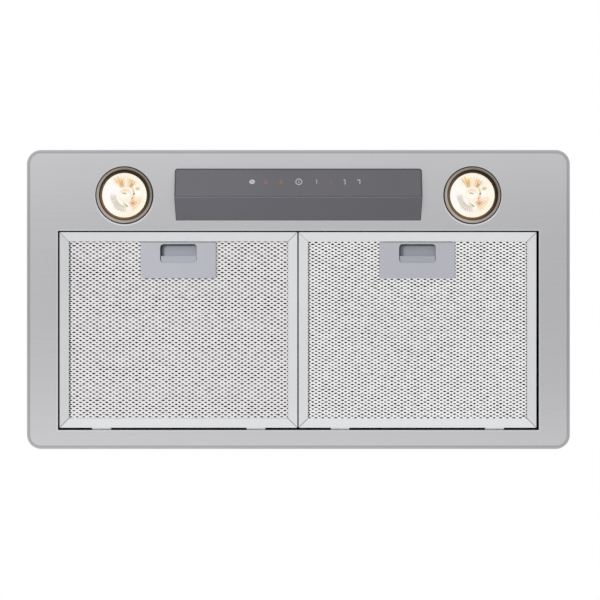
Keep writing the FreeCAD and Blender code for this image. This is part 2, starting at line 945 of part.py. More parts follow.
def scroll_path(x, offset):
    """Spiral's line at x: three quarter arcs about a small square's corners, then up to the roof."""
    half = float(size.scroll_step) / 2
    step = float(size.scroll_step)
    start = float(size.scroll_start) + offset
    y, z = float(axis_y), float(axis_z)
    top = float(under_roof)
    centres = [(y - half, z - half), (y + half, z - half), (y + half, z + half)]
    mouth = Vector(x, centres[0][0], centres[0][1] + start)
    edges = [Part.LineSegment(Vector(x, mouth.y, top), mouth).toShape()]
    begin = 90.0
    for quarter, (cy, cz) in enumerate(centres):
        radius = start + quarter * step
        angles = [math.radians(begin + turn) for turn in (0.0, 45.0, 90.0)]
        points = [Vector(x, cy + radius * math.cos(angle), cz + radius * math.sin(angle)) for angle in angles]
        edges.append(Part.Arc(*points).toShape())
        begin += 90.0
    edges.append(Part.LineSegment(points[2], Vector(x, points[2].y, top)).toShape())
    return edges


def closing_line(edges):
    """Straight edge between the free ends of a path."""
    return Part.LineSegment(edges[-1].Vertexes[-1].Point, edges[0].Vertexes[0].Point).toShape()


def scroll_plate(x, offset, thick):
    """Filled plate inside the spiral's line at an offset, from x on."""
    edges = scroll_path(x, offset)
    face_inside = Part.Face(Part.Wire(Part.__sortEdges__(edges + [closing_line(edges)])))
    return face_inside.extrude(Vector(thick, 0, 0))


def shape_node(label, shape):
    """Sub-part whose shape is worked out here from the sheet's sizes."""
    piece = document.addObject("Part::Feature", label)
    piece.Shape = shape
    piece.Placement = Placement()
    return node(piece, label)


def scroll():
    """Blower casing: the spiral strip and its two sides, open into the collar and at both inlets."""
    sheet = float(size.scroll_sheet)
    width = float(size.scroll_width)
    end = width / 2
    inside = scroll_plate(-end, 0.0, width)
    outside = scroll_plate(-end, sheet, width)
    front = float(scroll_front)
    mouth = float(scroll_mouth)
    front_wall = Part.makeBox(width, sheet, float(under_roof) - mouth, Vector(-end, front - sheet, mouth))
    strip = outside.fuse(front_wall).cut(inside).removeSplitter()
    shape_node("scroll_strip", strip)
    for label, x in (("scroll_side_left", -end - sheet), ("scroll_side_right", end)):
        holes = [(size.inlet_bore, axis_y, axis_z)]
        holes += [(size.screw_hole, y, z) for y, z in mount_spots()]
        side = scroll_plate(x, sheet, sheet)
        for bore, y, z in holes:
            centre = Vector(x, float(y), float(z))
            side = side.cut(Part.makeCylinder(float(bore) / 2, sheet, centre, Vector(1, 0, 0)))
        shape_node(label, side)


def mount_spots():
    """Three places about the blower's axis where the motor's arms are held."""
    reach = size.arm_reach
    return [
        (axis_y + reach * math.cos(math.radians(angle)), axis_z + reach * math.sin(math.radians(angle)))
        for angle in (90.0, 210.0, 330.0)
    ]


def inlet_ring(label, side):
    """Bell-mouth ring around an inlet, outside the scroll's side."""
    seat = size.scroll_width / 2 + size.scroll_sheet
    bore = size.inlet_bore / 2
    corners = [
        (seat, bore),
        (seat, bore + size.inlet_flange - size.inlet_lip),
        (seat + size.scroll_sheet, bore + size.inlet_flange - size.inlet_lip),
        (seat + size.inlet_lip, bore + size.inlet_lip / 2),
        (seat + size.inlet_lip, bore + size.inlet_lip / 2 - size.scroll_sheet),
        (seat + size.scroll_sheet, bore),
    ]
    owner = turned(label, corners, "XZ_Plane", "H_Axis")
    if side < 0:
        owner.Placement = Placement(Vector(), Rotation(Vector(0, 0, 1), 180))
    place(owner, 0, axis_y, axis_z)


def impeller():
    """Blower wheel: end rings, centre disc with its boss, and curved blades between the rings."""
    owner = new_body("impeller")
    outer, inner = size.wheel_outer / 2, size.wheel_inner / 2
    half = size.wheel_width / 2
    for low in (-half, half - size.wheel_ring):
        drawing = new_sketch(owner, "YZ_Plane", low)
        circle(drawing, 0, 0, outer * 2)
        circle(drawing, 0, 0, inner * 2)
        pad(owner, drawing, size.wheel_ring)
    disc = new_sketch(owner, "YZ_Plane", -size.hub_sheet / 2)
    circle(disc, 0, 0, outer * 2)
    circle(disc, 0, 0, size.shaft_width)
    pad(owner, disc, size.hub_sheet)
    blade = new_sketch(owner, "YZ_Plane", -half)
    skin = size.blade_sheet / 2
    root, belly, tip = inner + size.blade_root, middle(inner, outer), outer - size.blade_tip
    outline(
        blade,
        [
            (-skin, root),
            (skin, root),
            (skin - size.blade_belly, belly),
            (skin - size.blade_lean, tip),
            (-skin - size.blade_lean, tip),
            (-skin - size.blade_belly, belly),
        ],
    )
    blade_pad = pad(owner, blade, size.wheel_width)
    pattern = owner.newObject("PartDesign::PolarPattern", "impeller_blades")
    pattern.Originals = [blade_pad]
    pattern.Axis = (blade, ["N_Axis"])
    pattern.Angle = 360.0
    bind(pattern, "Occurrences", size.blade_count)
    owner.Tip = pattern
    boss = new_sketch(owner, "YZ_Plane", -size.hub_length)
    circle(boss, 0, 0, size.hub_boss)
    circle(boss, 0, 0, size.shaft_width)
    pad(owner, boss, size.hub_length)
    place(owner, 0, axis_y, axis_z)


def motor():
    """Motor inside the right inlet: case, wound stator, rotor, shaft, bearings and shaft nut."""
    start = size.motor_start
    end = start + size.motor_length
    wall = size.motor_wall
    outer = size.motor_width / 2
    seat = size.bearing_width / 2
    clear = size.shaft_width / 2 + size.shaft_gap
    cup = size.bearing_thick
    owner = turned(
        "motor_case",
        [
            (start, clear),
            (start, outer),
            (end, outer),
            (end, 0.0),
            (end - wall, 0.0),
            (end - wall, seat),
            (end - wall - cup, seat),
            (end - wall - cup, seat + wall),
            (end - wall, seat + wall),
            (end - wall, outer - wall),
            (start + wall, outer - wall),
            (start + wall, seat + wall),
            (start + wall + cup, seat + wall),
            (start + wall + cup, seat),
            (start + wall, seat),
            (start + wall, clear),
        ],
        "XZ_Plane",
        "H_Axis",
    )
    place(owner, 0, axis_y, axis_z)
    stack = around(middle(start, end), size.stator_length)
    stator_width = size.motor_width - wall * 2
    rotor_width = size.stator_bore - size.air_gap * 2
    stator = pipe("stator_stack", stator_width, size.stator_bore, stack, axis_y, axis_z)
    rotor = pipe("rotor_core", rotor_width, size.shaft_width, stack, axis_y, axis_z)
    node(stator, "motor_stator")
    node(rotor, "motor_rotor")
    nut_low = -size.hub_length - size.nut_thick
    shaft_span = (nut_low - size.shaft_nose, end - wall - size.shaft_tail)
    node(rod("shaft_rod", size.shaft_width, shaft_span, axis_y, axis_z), "motor_shaft")
    bearing_bore = size.shaft_width + size.shaft_fit * 2
    seats = ((start + wall, start + wall + cup), (end - wall - cup, end - wall))
    bearings = [
        pipe("bearing_%d" % number, size.bearing_width, bearing_bore, span, axis_y, axis_z)
        for number, span in enumerate(seats)
    ]
    node(group("bearing_pair", bearings), "motor_bearings")
    shaft_nut(nut_low)


def shaft_nut(low):
    """Hexagon nut that clamps the wheel's boss on the shaft."""
    nut = document.addObject("Part::Prism", "nut_hexagon")
    nut.Polygon = 6
    bind(nut, "Circumradius", size.nut_width / 2)
    bind(nut, "Height", size.nut_thick)
    nut.Placement = Placement(Vector(), TURNS["x"])
    place(nut, low, axis_y, axis_z)
    span = (low, low + size.nut_thick)
    bore = rod("nut_bore", size.shaft_width, span, axis_y, axis_z)
    node(cut("nut_piece", nut, [bore]), "impeller_nut")


def motor_bracket():
    """Ring round the motor with three arms, held to the scroll's side on rubber mounts."""
    side_face = size.scroll_width / 2 + size.scroll_sheet
    seat = side_face + size.mount_height
    span = (seat, seat + size.arm_sheet)
    ring = rod("arm_ring", size.motor_width + size.arm_width, span, axis_y, axis_z)
    spots = list(enumerate(mount_spots()))
    tips = [rod("arm_tip_%d" % number, size.arm_width, span, y, z) for number, (y, z) in spots]
    holes = [rod("arm_hole_%d" % number, size.screw_hole, span, y, z) for number, (y, z) in spots]
    arms = [bracket_arm(number, seat) for number, _ in spots]
    solid = fuse("arm_solid", [ring] + tips + arms)
    bore = rod("arm_bore", size.motor_width, span, axis_y, axis_z)
    node(cut("arm_piece", solid, [bore] + holes), "motor_bracket")
    mounts = [
        pipe("mount_%d" % number, size.mount_width, size.screw_hole, (side_face, seat), y, z)
        for number, (y, z) in spots
    ]
    node(group("mount_set", mounts), "motor_mounts")
    length = size.arm_sheet + size.mount_height + size.scroll_sheet
    screws = [screw("motor_screw_%d" % number, span[1], y, z, "x", -1.0, length) for number, (y, z) in spots]
    node(group("motor_screw_set", screws), "motor_screws")


def bracket_arm(number, seat):
    """Flat arm from the motor's axis out to one mount."""
    arm = document.addObject("Part::Box", "arm_%d" % number)
    bind(arm, "Length", size.arm_sheet)
    bind(arm, "Width", size.arm_width)
    bind(arm, "Height", size.arm_reach)
    turn = 120.0 * number
    arm.Placement = Placement(Vector(), Rotation(Vector(1, 0, 0), turn))
    half = size.arm_width / 2
    y = axis_y - half * math.cos(math.radians(turn))
    z = axis_z - half * math.sin(math.radians(turn))
    return place(arm, seat, y, z)


# ---- electrics under the roof ----


def capacitor():
    """Motor capacitor in a strap clip on the roof's underside."""
    radius = size.capacitor_width / 2
    level = under_roof - radius - size.housing_sheet
    centre_x = size.capacitor_inset - housing_end_x
    span = around(centre_x, size.capacitor_length)
    y = housing_y[1] - size.capacitor_line
    can = rod("capacitor_can", size.capacitor_width, span, y, level)
    lug_x = (middle(span[0], span[1]), span[1] + size.lug_length)
    lug_z = around(level, size.lug_width)
    lugs = [
        block("capacitor_lug_" + label, lug_x, around(y + side * radius / 2, size.lug_sheet), lug_z)
        for label, side in (("front", -1.0), ("rear", 1.0))
    ]
    node(fuse("capacitor_piece", [can] + lugs), "capacitor")
    strap_x = around(centre_x, size.clip_width)
    strap = rod("clip_strap", size.capacitor_width + size.housing_sheet * 2, strap_x, y, level)
    ear_y = (y - radius, y + radius + size.clip_width)
    ear = block("clip_ear", strap_x, ear_y, (under_roof - size.housing_sheet, under_roof))
    hollow = rod("clip_bore", size.capacitor_width, strap_x, y, level)
    node(cut("clip_piece", fuse("clip_solid", [strap, ear]), [hollow]), "capacitor_clip")


def terminal_box():
    """Plastic box for the mains terminals, open below, with its cover, board and cable gland."""
    x = around(box_x, size.box_width)
    y = around(box_y, size.box_depth)
    bottom = under_roof - size.box_height
    wall = size.box_wall
    clear = wall + size.cover_clear
    owner = new_body("terminal_box")
    drawing = new_sketch(owner, "XY_Plane", bottom)
    rounded(drawing, x, y, size.box_corner)
    pad(owner, drawing, size.box_height)
    drawing = new_sketch(owner, "XY_Plane", bottom)
    rounded(drawing, inside_of(x, wall), inside_of(y, wall), size.box_corner - wall)
    pocket(owner, drawing, size.box_height - wall)
    drawing = new_sketch(owner, "XY_Plane")
    circle(drawing, box_x, box_y, size.gland_thread)
    pocket(owner, drawing)

    owner = new_body("terminal_cover")
    drawing = new_sketch(owner, "XY_Plane", bottom - size.cover_sheet)
    rounded(drawing, x, y, size.box_corner)
    pad(owner, drawing, size.cover_sheet)
    drawing = new_sketch(owner, "XY_Plane", bottom)
    rounded(drawing, inside_of(x, clear), inside_of(y, clear), size.box_corner - clear)
    rectangle(drawing, inside_of(x, wall * 2), inside_of(y, wall * 2))
    pad(owner, drawing, wall)
    power_board(x, y, bottom + wall)
    cable_gland()


def inside_of(span, wall):
    """A span made smaller by a wall at both ends."""
    return span[0] + wall, span[1] - wall


def power_board(x, y, low):
    """Circuit board on the cover's rim, with its relays and terminal strip."""
    edge = size.box_wall + size.cover_clear + size.power_board_clear
    top = low + size.board_sheet
    board = block("power_board_sheet", inside_of(x, edge), inside_of(y, edge), (low, top))
    part_z = (top, top + size.relay_height)
    relay_y = around(box_y - size.relay_line, size.relay_depth)
    count = int(size.relay_count.number)
    relays = []
    for number in range(count):
        relay_x = box_x + (number - (count - 1) / 2) * size.relay_pitch
        relays.append(block("relay_%d" % number, around(relay_x, size.relay_width), relay_y, part_z))
    strip_y = around(box_y + size.strip_line, size.strip_depth)
    strip = block("terminal_strip", around(box_x, size.strip_width), strip_y, part_z)
    node(group("power_board_set", [board, strip] + relays), "power_board")


def cable_gland():
    """Gland through the roof and the box, with a hexagon on top; the mains lead enters here."""
    radius = size.gland_thread / 2
    bore = size.gland_bore / 2
    hexagon = size.gland_nut / 2
    low = under_roof - size.box_wall - size.gland_tail
    owner = turned(
        "cable_gland",
        [
            (bore, low),
            (radius, low),
            (radius, roof),
            (hexagon, roof),
            (hexagon, roof + size.gland_hexagon),
            (radius, roof + size.gland_height),
            (bore, roof + size.gland_height),
        ],
    )
    place(owner, box_x, box_y, 0)


# ---- lamps ----


def lamp_ring(label, x):
    """Bezel: a flange under the plate with a sleeve up through it; its lip holds the lamp."""
    mouth = size.bezel_mouth / 2
    flange = size.bezel_width / 2
    sleeve = size.bezel_sleeve / 2
    bore = size.bezel_bore / 2
    low = face - size.bezel_sheet
    owner = turned(
        label,
        [
            (mouth, low + size.mouth_edge),
            (mouth + size.mouth_edge, low),
            (flange - size.bezel_edge, low),
            (flange, low + size.bezel_edge),
            (flange, face),
            (sleeve, face),
            (sleeve, face + size.bezel_height),
            (bore, face + size.bezel_height),
            (bore, face),
            (mouth, face),
        ],
    )
    place(owner, x, lamp_y, 0)


def lamp(label, x):
    """Reflector lamp with two pins, and its front lens, as two solids."""
    front = lamp_front
    rim = size.lamp_width / 2
    neck = size.lamp_neck / 2
    top = front + size.lamp_length
    base = top - size.lamp_base
    lens = size.lens_width / 2
    behind = front + size.lens_thick
    owner = document.addObject("PartDesign::Body", label + "_reflector")
    drawing = new_sketch(owner, "XZ_Plane")
    outline(
        drawing,
        [
            (0.0, behind + size.lens_dome),
            (lens / 2, behind + size.lens_shoulder),
            (lens, behind),
            (lens, front),
            (rim, front),
            (rim, front + size.rim_height),
            (size.bowl_width / 2, front + size.bowl_height),
            (size.waist_width / 2, front + size.waist_height),
            (neck + size.neck_step, base),
            (neck, base),
            (neck, top),
            (0.0, top),
        ],
    )
    revolve(owner, drawing, "V_Axis")
    place(owner, x, lamp_y, 0)
    glass = rod(label + "_lens", size.lens_width, x, lamp_y, (front, behind))
    pin_end = top + size.pin_length
    cap_z = (pin_end - size.pin_cap, pin_end)
    parts = [owner]
    for mark, side in (("left", -1.0), ("right", 1.0)):
        pin_x = x + side * size.pin_spread / 2
        parts.append(rod(label + "_stem_" + mark, size.pin_stem, pin_x, lamp_y, (top, pin_end)))
        parts.append(rod(label + "_head_" + mark, size.pin_head, pin_x, lamp_y, cap_z))
    node(group(label + "_pair", [fuse(label + "_shell", parts), glass]), label)


def holder_levels():
    """Underside and top of a lamp's holder."""
    low = lamp_front + size.lamp_length + size.pin_clear
    return low, low + size.holder_height


def lamp_holder(label, x):
    """Ceramic holder over the lamp's pins, with a round slot in which they turn."""
    low, high = holder_levels()
    outer = size.holder_width / 2
    slot_in, slot_out = around(size.pin_spread / 2, size.pin_head + size.slot_clear * 2)
    deep = low + size.pin_length + size.slot_over
    owner = turned(
        label,
        [
            (0.0, low),
            (slot_in, low),
            (slot_in, deep),
            (slot_out, deep),
            (slot_out, low),
            (outer, low),
            (outer, high),
            (0.0, high),
        ],
    )
    place(owner, x, lamp_y, 0)


def lamp_bracket(label, x):
    """Sheet bridge over a lamp that carries its holder; its feet stand on the face plate."""
    high = holder_levels()[1]
    sheet = size.bracket_sheet
    inner = size.bracket_span / 2
    foot = inner + sheet + size.bracket_foot
    owner = new_body(label)
    drawing = new_sketch(owner, "XZ_Plane")
    outline(
        drawing,
        [
            (-foot, plate_top),
            (-inner, plate_top),
            (-inner, high),
            (inner, high),
            (inner, plate_top),
            (foot, plate_top),
            (foot, plate_top + sheet),
            (inner + sheet, plate_top + sheet),
            (inner + sheet, high + sheet),
            (-inner - sheet, high + sheet),
            (-inner - sheet, plate_top + sheet),
            (-foot, plate_top + sheet),
        ],
    )
    pad(owner, drawing, size.bracket_width, symmetric=True)
    place(owner, x, lamp_y, 0)


# ---- control ----

facet_run = control_ridge - control_front
facet_fall = size.ridge_drop - size.front_drop
facet_tilt = slope_angle(facet_fall, facet_run)
facet_length = hypotenuse(facet_run, facet_fall)


def facet_slab(name, x, start, length, depth, thick):
    """Box on the front facet: from an x on, along the facet, and up into the body square to it."""
    share_run = facet_run / facet_length
    share_fall = facet_fall / facet_length
    piece = document.addObject("Part::Box", name)
    bind(piece, "Length", as_size(x[1]) - x[0])
    bind(piece, "Width", length)
    bind(piece, "Height", thick)
    piece.Placement = Placement(Vector(), Rotation(Vector(-1, 0, 0), 1.0))
    bind(piece, "Placement.Rotation.Angle", facet_tilt)
    y = control_front + start * share_run + depth * share_fall
    z = face - size.front_drop - start * share_fall + depth * share_run
    return place(piece, x[0], y, z)


def control():
    """Wedge-shaped control body under the plate, with its touch panel and the screws that hold it."""
    owner = document.addObject("PartDesign::Body", "control_wedge")
    wall = size.control_wall
    facet_low = face - size.front_drop
    drawing = new_sketch(owner, "YZ_Plane")
    front_corners = [(control_front, face), (control_front, facet_low)]
    outline(drawing, front_corners + [(control_ridge, face - size.ridge_drop), (control_rear, face)])
    pad(owner, drawing, control_width, symmetric=True)
    round_off(owner, size.control_corner, lambda edge: along(edge, "z") and near(spot(edge).y, control_front))
    floor = facet_low + size.control_floor + size.touch_sheet
    drawing = new_sketch(owner, "YZ_Plane")
    outline(
        drawing,
        [
            (control_front + wall, face),
            (control_front + wall, floor - facet_fall * wall / facet_run),
            (control_ridge, floor - facet_fall),
            (control_rear - size.control_floor, face),
        ],
    )
    hollow = pocket(owner, drawing)
    hollow.Type = "Length"
    bind(hollow, "Length", control_width - size.control_end * 2)
    touch_x = around(0, control_width - size.touch_margin * 2)
    touch_length = facet_length - size.touch_margin * 2
    touch = (touch_x, size.touch_margin, touch_length, as_size(0), size.touch_sheet)
    spots = list(enumerate(control_screw_spots()))
    holes = [
        rod("control_hole_%d" % number, size.screw_shank, x, y, (plate_top - size.screw_length, face))
        for number, (x, y) in spots
    ]
    node(cut("control_piece", owner, [facet_slab("touch_recess", *touch)] + holes), "control_body")
    node(facet_slab("touch_slab", *touch), "control_panel")
    control_board()
    screws = [screw("control_screw_%d" % number, x, y, plate_top, "z", -1.0) for number, (x, y) in spots]
    node(group("control_screw_set", screws), "control_screws")


def control_board():
    """Sensor board on three posts behind the touch panel, with its chip."""
    half = control_width / 2 - size.board_end
    start = (facet_length - size.board_depth) / 2 + size.board_shift
    floor = size.touch_sheet + size.control_floor
    low = floor + size.board_stand
    board = facet_slab("board_slab", (-half, half), start, size.board_depth, low, size.board_sheet)
    posts = []
    for mark, share in (("left", -1.0), ("middle", 0.0), ("right", 1.0)):
        post_x = around(share * (half - size.post_end), size.post_width)
        place_in = (post_x, start + size.post_start, size.post_length, floor, size.board_stand)
        posts.append(facet_slab("board_post_" + mark, *place_in))
    chip_x = around(0, size.chip_width)
    chip_start = start + size.chip_start
    chip_low = low + size.board_sheet
    chip = facet_slab("board_chip", chip_x, chip_start, size.chip_length, chip_low, size.chip_thick)
    node(group("control_board_set", [fuse("board_with_posts", [board] + posts), chip]), "control_board")


# ---- grease filters ----


def latch_front():
    """Front of the latch case, just behind the front bar's face."""
    return filter_y[0] + size.bar_face + size.latch_gap


def latch_levels():
    """Underside and top of the latch case."""
    return filter_z[0], filter_z[1] - size.bar_sheet


def slider_levels():
    """Underside and top of the slider's plate, near the top of the latch case."""
    top = latch_levels()[1] - size.latch_wall - size.slider_play
    return top - size.slider_sheet, top


def filter_frame(side):
    """Four channel bars around the mesh pack, with a fine seam at each mitre."""
    half = float(filter_width) / 2
    front, rear = (float(value) for value in filter_y)
    low, high = (float(value) for value in filter_z)
    bar, sheet = float(size.bar_face), float(size.bar_sheet)
    play = float(size.slider_play)
    slot_low, slot_high = (float(value) for value in slider_levels())
    tongue = float(size.tongue_width) / 2 + play

    def slab(inset, bottom, top):
        """Filter-sized slab, smaller by an inset all round."""
        start = Vector(inset - half, front + inset, bottom)
        return Part.makeBox(2 * (half - inset), rear - front - 2 * inset, top - bottom, start)

    channel = slab(0, low, high).cut(slab(bar, low, high)).cut(slab(sheet, low + sheet, high - sheet))
    slot_start = Vector(-tongue, front - play, slot_low - play)
    slot = Part.makeBox(2 * tongue, bar + play, slot_high - slot_low + 2 * play, slot_start)
    channel = channel.cut(slot)
    outer = rectangle_corners(half, front, rear, low, 0)
    inner = rectangle_corners(half, front, rear, low, bar)
    bars = []
    for number in range(4):
        after = (number + 1) % 4
        trim = (outer[after] - outer[number]).normalize() * float(size.bar_seam) / math.sqrt(2)
        loop = [outer[number] + trim, outer[after] - trim, inner[after] - trim, inner[number] + trim]
        prism = Part.Face(Part.makePolygon(loop + loop[:1])).extrude(Vector(0, 0, high - low))
        bars.append(channel.common(prism).Solids[0])
    piece = shape_node("filter_frame_" + side, Part.makeCompound(bars))
    place(piece, filter_centres[side], 0, 0)


def rectangle_corners(half, front, rear, level, inset):
    """Corners of a rectangle about x = 0, smaller by an inset, anticlockwise from the front left."""
    left, right = inset - half, half - inset
    front, rear = front + inset, rear - inset
    return [Vector(x, y, level) for x, y in ((left, front), (right, front), (right, rear), (left, rear))]


def lozenge(x, y, width, height):
    """Wire of one mesh opening."""
    tips = [(x - width / 2, y), (x, y - height / 2), (x + width / 2, y), (x, y + height / 2)]
    points = [Vector(px, py, 0) for px, py in tips]
    return Part.makePolygon(points + points[:1])


def filter_mesh(side):
    """Outer mesh: one sheet with staggered lozenge openings, cut away around the latch case."""
    half = float(filter_width) / 2 - float(size.bar_face)
    front, rear = (float(value) for value in inside_of(filter_y, size.bar_face))
    tuck = float(size.mesh_tuck)
    strand = float(size.mesh_strand)
    low = float(filter_z[0] + size.bar_sheet)
    thick = float(size.mesh_sheet)
    columns, rows = int(size.mesh_column_count.number), int(size.mesh_row_count.number)
    step_x, step_y = 2 * half / columns, (rear - front) / rows
    latch_half = float(size.latch_width / 2 + size.latch_clear)
    latch_rear = float(latch_front() + size.latch_depth + size.latch_clear)
    border = rectangle_corners(half, front, rear, 0, -tuck)
    wires = [Part.makePolygon(border + border[:1])]
    for row in range(rows):
        y = front + (row + 0.5) * step_y
        for column in range(columns - row % 2):
            x = -half + (column + 0.5 + 0.5 * (row % 2)) * step_x
            if abs(x) > latch_half + step_x / 2 or y > latch_rear + step_y / 2:
                wires.append(lozenge(x, y, step_x - strand, step_y - strand))
    sheet = Part.Face(wires, "Part::FaceMakerBullseye").extrude(Vector(0, 0, thick))
    sheet.translate(Vector(0, 0, low))
    space_start = Vector(-latch_half, front - tuck, low)
    space = Part.makeBox(2 * latch_half, latch_rear - front + tuck, thick, space_start)
    piece = shape_node("filter_mesh_" + side, sheet.cut(space))
    place(piece, filter_centres[side], 0, 0)


def filter_core(side):
    """Inner layers of the mesh pack, as one slab around the latch case."""
    x = filter_centres[side]
    edge = size.bar_face - size.mesh_tuck
    low = filter_z[0] + size.bar_sheet + size.mesh_sheet
    levels = (low, low + size.core_thick)
    slab = block("core_slab_" + side, around(x, filter_width - edge * 2), inside_of(filter_y, edge), levels)
    space_x = around(x, size.latch_width + size.latch_clear * 2)
    space_y = (filter_y[0], latch_front() + size.latch_depth + size.latch_clear)
    space = block("core_space_" + side, space_x, space_y, levels)
    node(cut("core_piece_" + side, slab, [space]), "filter_core_" + side)


def filter_tabs(side):
    """Two angle tabs on the rear bar that hang on the window's rear lip."""
    bottom = lip_top + size.tab_rest
    top = bottom + size.tab_sheet
    rear = filter_y[1]
    tabs = []
    for mark, offset in (("left", -size.tab_offset), ("right", size.tab_offset)):
        name = "%s_%s" % (side, mark)
        span = around(filter_centres[side] + offset, size.tab_width)
        back_z = (filter_z[0] + size.tab_tail, top)
        hook = block("tab_hook_" + name, span, (rear, rear + size.tab_reach), (bottom, top))
        back = block("tab_back_" + name, span, (rear, rear + size.tab_sheet), back_z)
        tabs.append(fuse("tab_" + name, [hook, back]))
    node(group("tab_pair_" + side, tabs), "filter_tabs_" + side)


def latch_case(side):
    """Plastic case set in the mesh: open window below, cavity for the slider, tongue slot in front."""
    low, high = latch_levels()
    wall = size.latch_wall
    front = latch_front()
    rear = front + size.latch_depth
    owner = new_body("latch_case_" + side)
    drawing = new_sketch(owner, "XY_Plane", low)
    rectangle(drawing, around(0, size.latch_width), (front, rear))
    pad(owner, drawing, high - low)
    round_off(owner, size.latch_corner, lambda edge: along(edge, "z") and near(spot(edge).y, rear))
    drawing = new_sketch(owner, "XY_Plane", low + wall)
    cavity = size.grip_width + size.slider_play * 2
    rectangle(drawing, around(0, cavity), (front + wall, rear - wall))
    pocket(owner, drawing, high - low - wall * 2)
    drawing = new_sketch(owner, "XY_Plane", low)
    border = front + size.recess_border
    rounded(drawing, around(0, size.recess_width), (border, border + size.recess_depth), size.recess_corner)
    pocket(owner, drawing, wall)
    drawing = new_sketch(owner, "XZ_Plane", -front - wall)
    slider_low, slider_high = slider_levels()
    play = size.slider_play
    rectangle(drawing, around(0, size.tongue_width + play * 2), (slider_low - play, slider_high + play / 2))
    pocket(owner, drawing, wall)
    place(owner, filter_centres[side], 0, 0)


def grip_rear():
    """Rear of the slider's grip, hidden behind the recess's rear edge."""
    return latch_front() + size.recess_border + size.recess_depth + size.grip_cover


def latch_slider(side):
    """Slider: a plate that floors the finger pocket, its tongue through the front bar, and the grip."""
    low, high = slider_levels()
    x = filter_centres[side]
    play = size.slider_play
    front = latch_front() + size.latch_wall + play
    grip_front = latch_front() + size.recess_border + size.pocket_depth
    grip_low = latch_levels()[0] + size.latch_wall + play
    grip_x = around(x, size.recess_width - size.grip_clear * 2)
    tongue_y = (window_y[0] + size.tongue_short, front)
    pieces = [
        block("slider_plate_" + side, around(x, size.grip_width), (front, grip_rear()), (low, high)),
        block("slider_tongue_" + side, around(x, size.tongue_width), tongue_y, (low, high)),
        block("slider_grip_" + side, grip_x, (grip_front, grip_rear()), (grip_low, low)),
    ]
    node(fuse("slider_piece_" + side, pieces), "latch_slider_" + side)


def latch_spring(side):
    """Coil that pushes the slider forward, between its rear and the case's rear wall."""
    start = float(grip_rear())
    end = float(latch_front() + size.latch_depth - size.latch_wall)
    wire = float(size.latch_wire) / 2
    radius = float(size.latch_coil) / 2 - wire
    centre = Vector(0, start + wire, float(middle(*latch_levels())))
    run = end - start - 2 * wire
    eighths = int(size.latch_turn_count.number) * 8
    points = []
    for eighth in range(eighths + 1):
        angle = eighth * math.pi / 4
        across, up = radius * math.cos(angle), radius * math.sin(angle)
        points.append(centre + Vector(across, run * eighth / eighths, up))
    arcs = [Part.Arc(*points[first:first + 3]).toShape() for first in range(0, eighths, 2)]
    section = Part.Wire(Part.makeCircle(wire, points[0], points[1] - points[0]))
    spring = Part.Wire(arcs).makePipeShell([section], True, False)
    place(shape_node("latch_spring_" + side, spring), filter_centres[side], 0, 0)


# ---- build ----


def build():
    """Makes every sub-part in the order of assembly."""
    face_plate()
    housing_wall("housing_front", 0)
    housing_wall("housing_rear", 180)
    housing_roof()
    housing_end("housing_end_right", 0)
    housing_end("housing_end_left", 180)
    housing_screws()
    duct_collar()
    collar_screws()
    damper_pins()
    damper_flap("damper_flap_left", -1.0)
    damper_flap("damper_flap_right", 1.0)
    scroll()
    inlet_ring("inlet_ring_left", -1.0)
    inlet_ring("inlet_ring_right", 1.0)
    impeller()
    motor()
    motor_bracket()
    capacitor()
    terminal_box()
    for side, x in lamp_centres.items():
        lamp_ring("lamp_ring_" + side, x)
        lamp("lamp_" + side, x)
        lamp_holder("lamp_holder_" + side, x)
        lamp_bracket("lamp_bracket_" + side, x)
    control()
    for side in filter_centres:
        filter_frame(side)
        filter_mesh(side)
        filter_core(side)
        filter_tabs(side)
        latch_case(side)
        latch_slider(side)
        latch_spring(side)


def check_and_write():
    """Refuses any failed object or bad shape, then writes one file for each sub-part."""
    document.recompute()
    failed = [item.Name for item in document.Objects if {"Invalid", "Error"} & set(item.State)]
    if failed:
        raise RuntimeError("failed objects: " + ", ".join(failed))
    bad = [label for label, piece in nodes.items() if piece.Shape.isNull() or not piece.Shape.isValid()]
    if bad:
        raise RuntimeError("bad shapes: " + ", ".join(bad))
    os.makedirs("parts", exist_ok=True)
    for label, piece in nodes.items():
        piece.Shape.exportStep(os.path.join("parts", label + ".step"))
    print("%d sub-parts" % len(nodes))


build()
check_and_write()
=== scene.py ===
import json
import logging
import math
from dataclasses import dataclass, field
from enum import Enum
from functools import reduce
from typing import Any, Callable, Iterable, Protocol, Sequence

import bpy
import numpy as np
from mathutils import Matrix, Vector


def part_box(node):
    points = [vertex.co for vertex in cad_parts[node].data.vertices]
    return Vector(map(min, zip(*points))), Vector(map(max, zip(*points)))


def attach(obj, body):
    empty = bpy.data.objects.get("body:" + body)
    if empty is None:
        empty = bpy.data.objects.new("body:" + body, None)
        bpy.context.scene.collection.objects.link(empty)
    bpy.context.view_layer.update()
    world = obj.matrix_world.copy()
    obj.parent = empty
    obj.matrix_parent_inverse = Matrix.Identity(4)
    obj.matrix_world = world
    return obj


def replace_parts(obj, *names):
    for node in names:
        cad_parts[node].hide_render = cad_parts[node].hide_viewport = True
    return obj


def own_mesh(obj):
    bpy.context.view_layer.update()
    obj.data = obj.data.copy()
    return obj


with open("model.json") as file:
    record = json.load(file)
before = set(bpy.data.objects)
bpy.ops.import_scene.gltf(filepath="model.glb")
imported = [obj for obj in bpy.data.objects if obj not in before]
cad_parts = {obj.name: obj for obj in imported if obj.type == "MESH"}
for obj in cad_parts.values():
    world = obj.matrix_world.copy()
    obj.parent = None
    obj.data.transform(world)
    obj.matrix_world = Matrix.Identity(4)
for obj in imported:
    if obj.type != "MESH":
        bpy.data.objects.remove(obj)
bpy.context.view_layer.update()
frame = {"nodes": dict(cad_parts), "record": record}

MM = 0.001
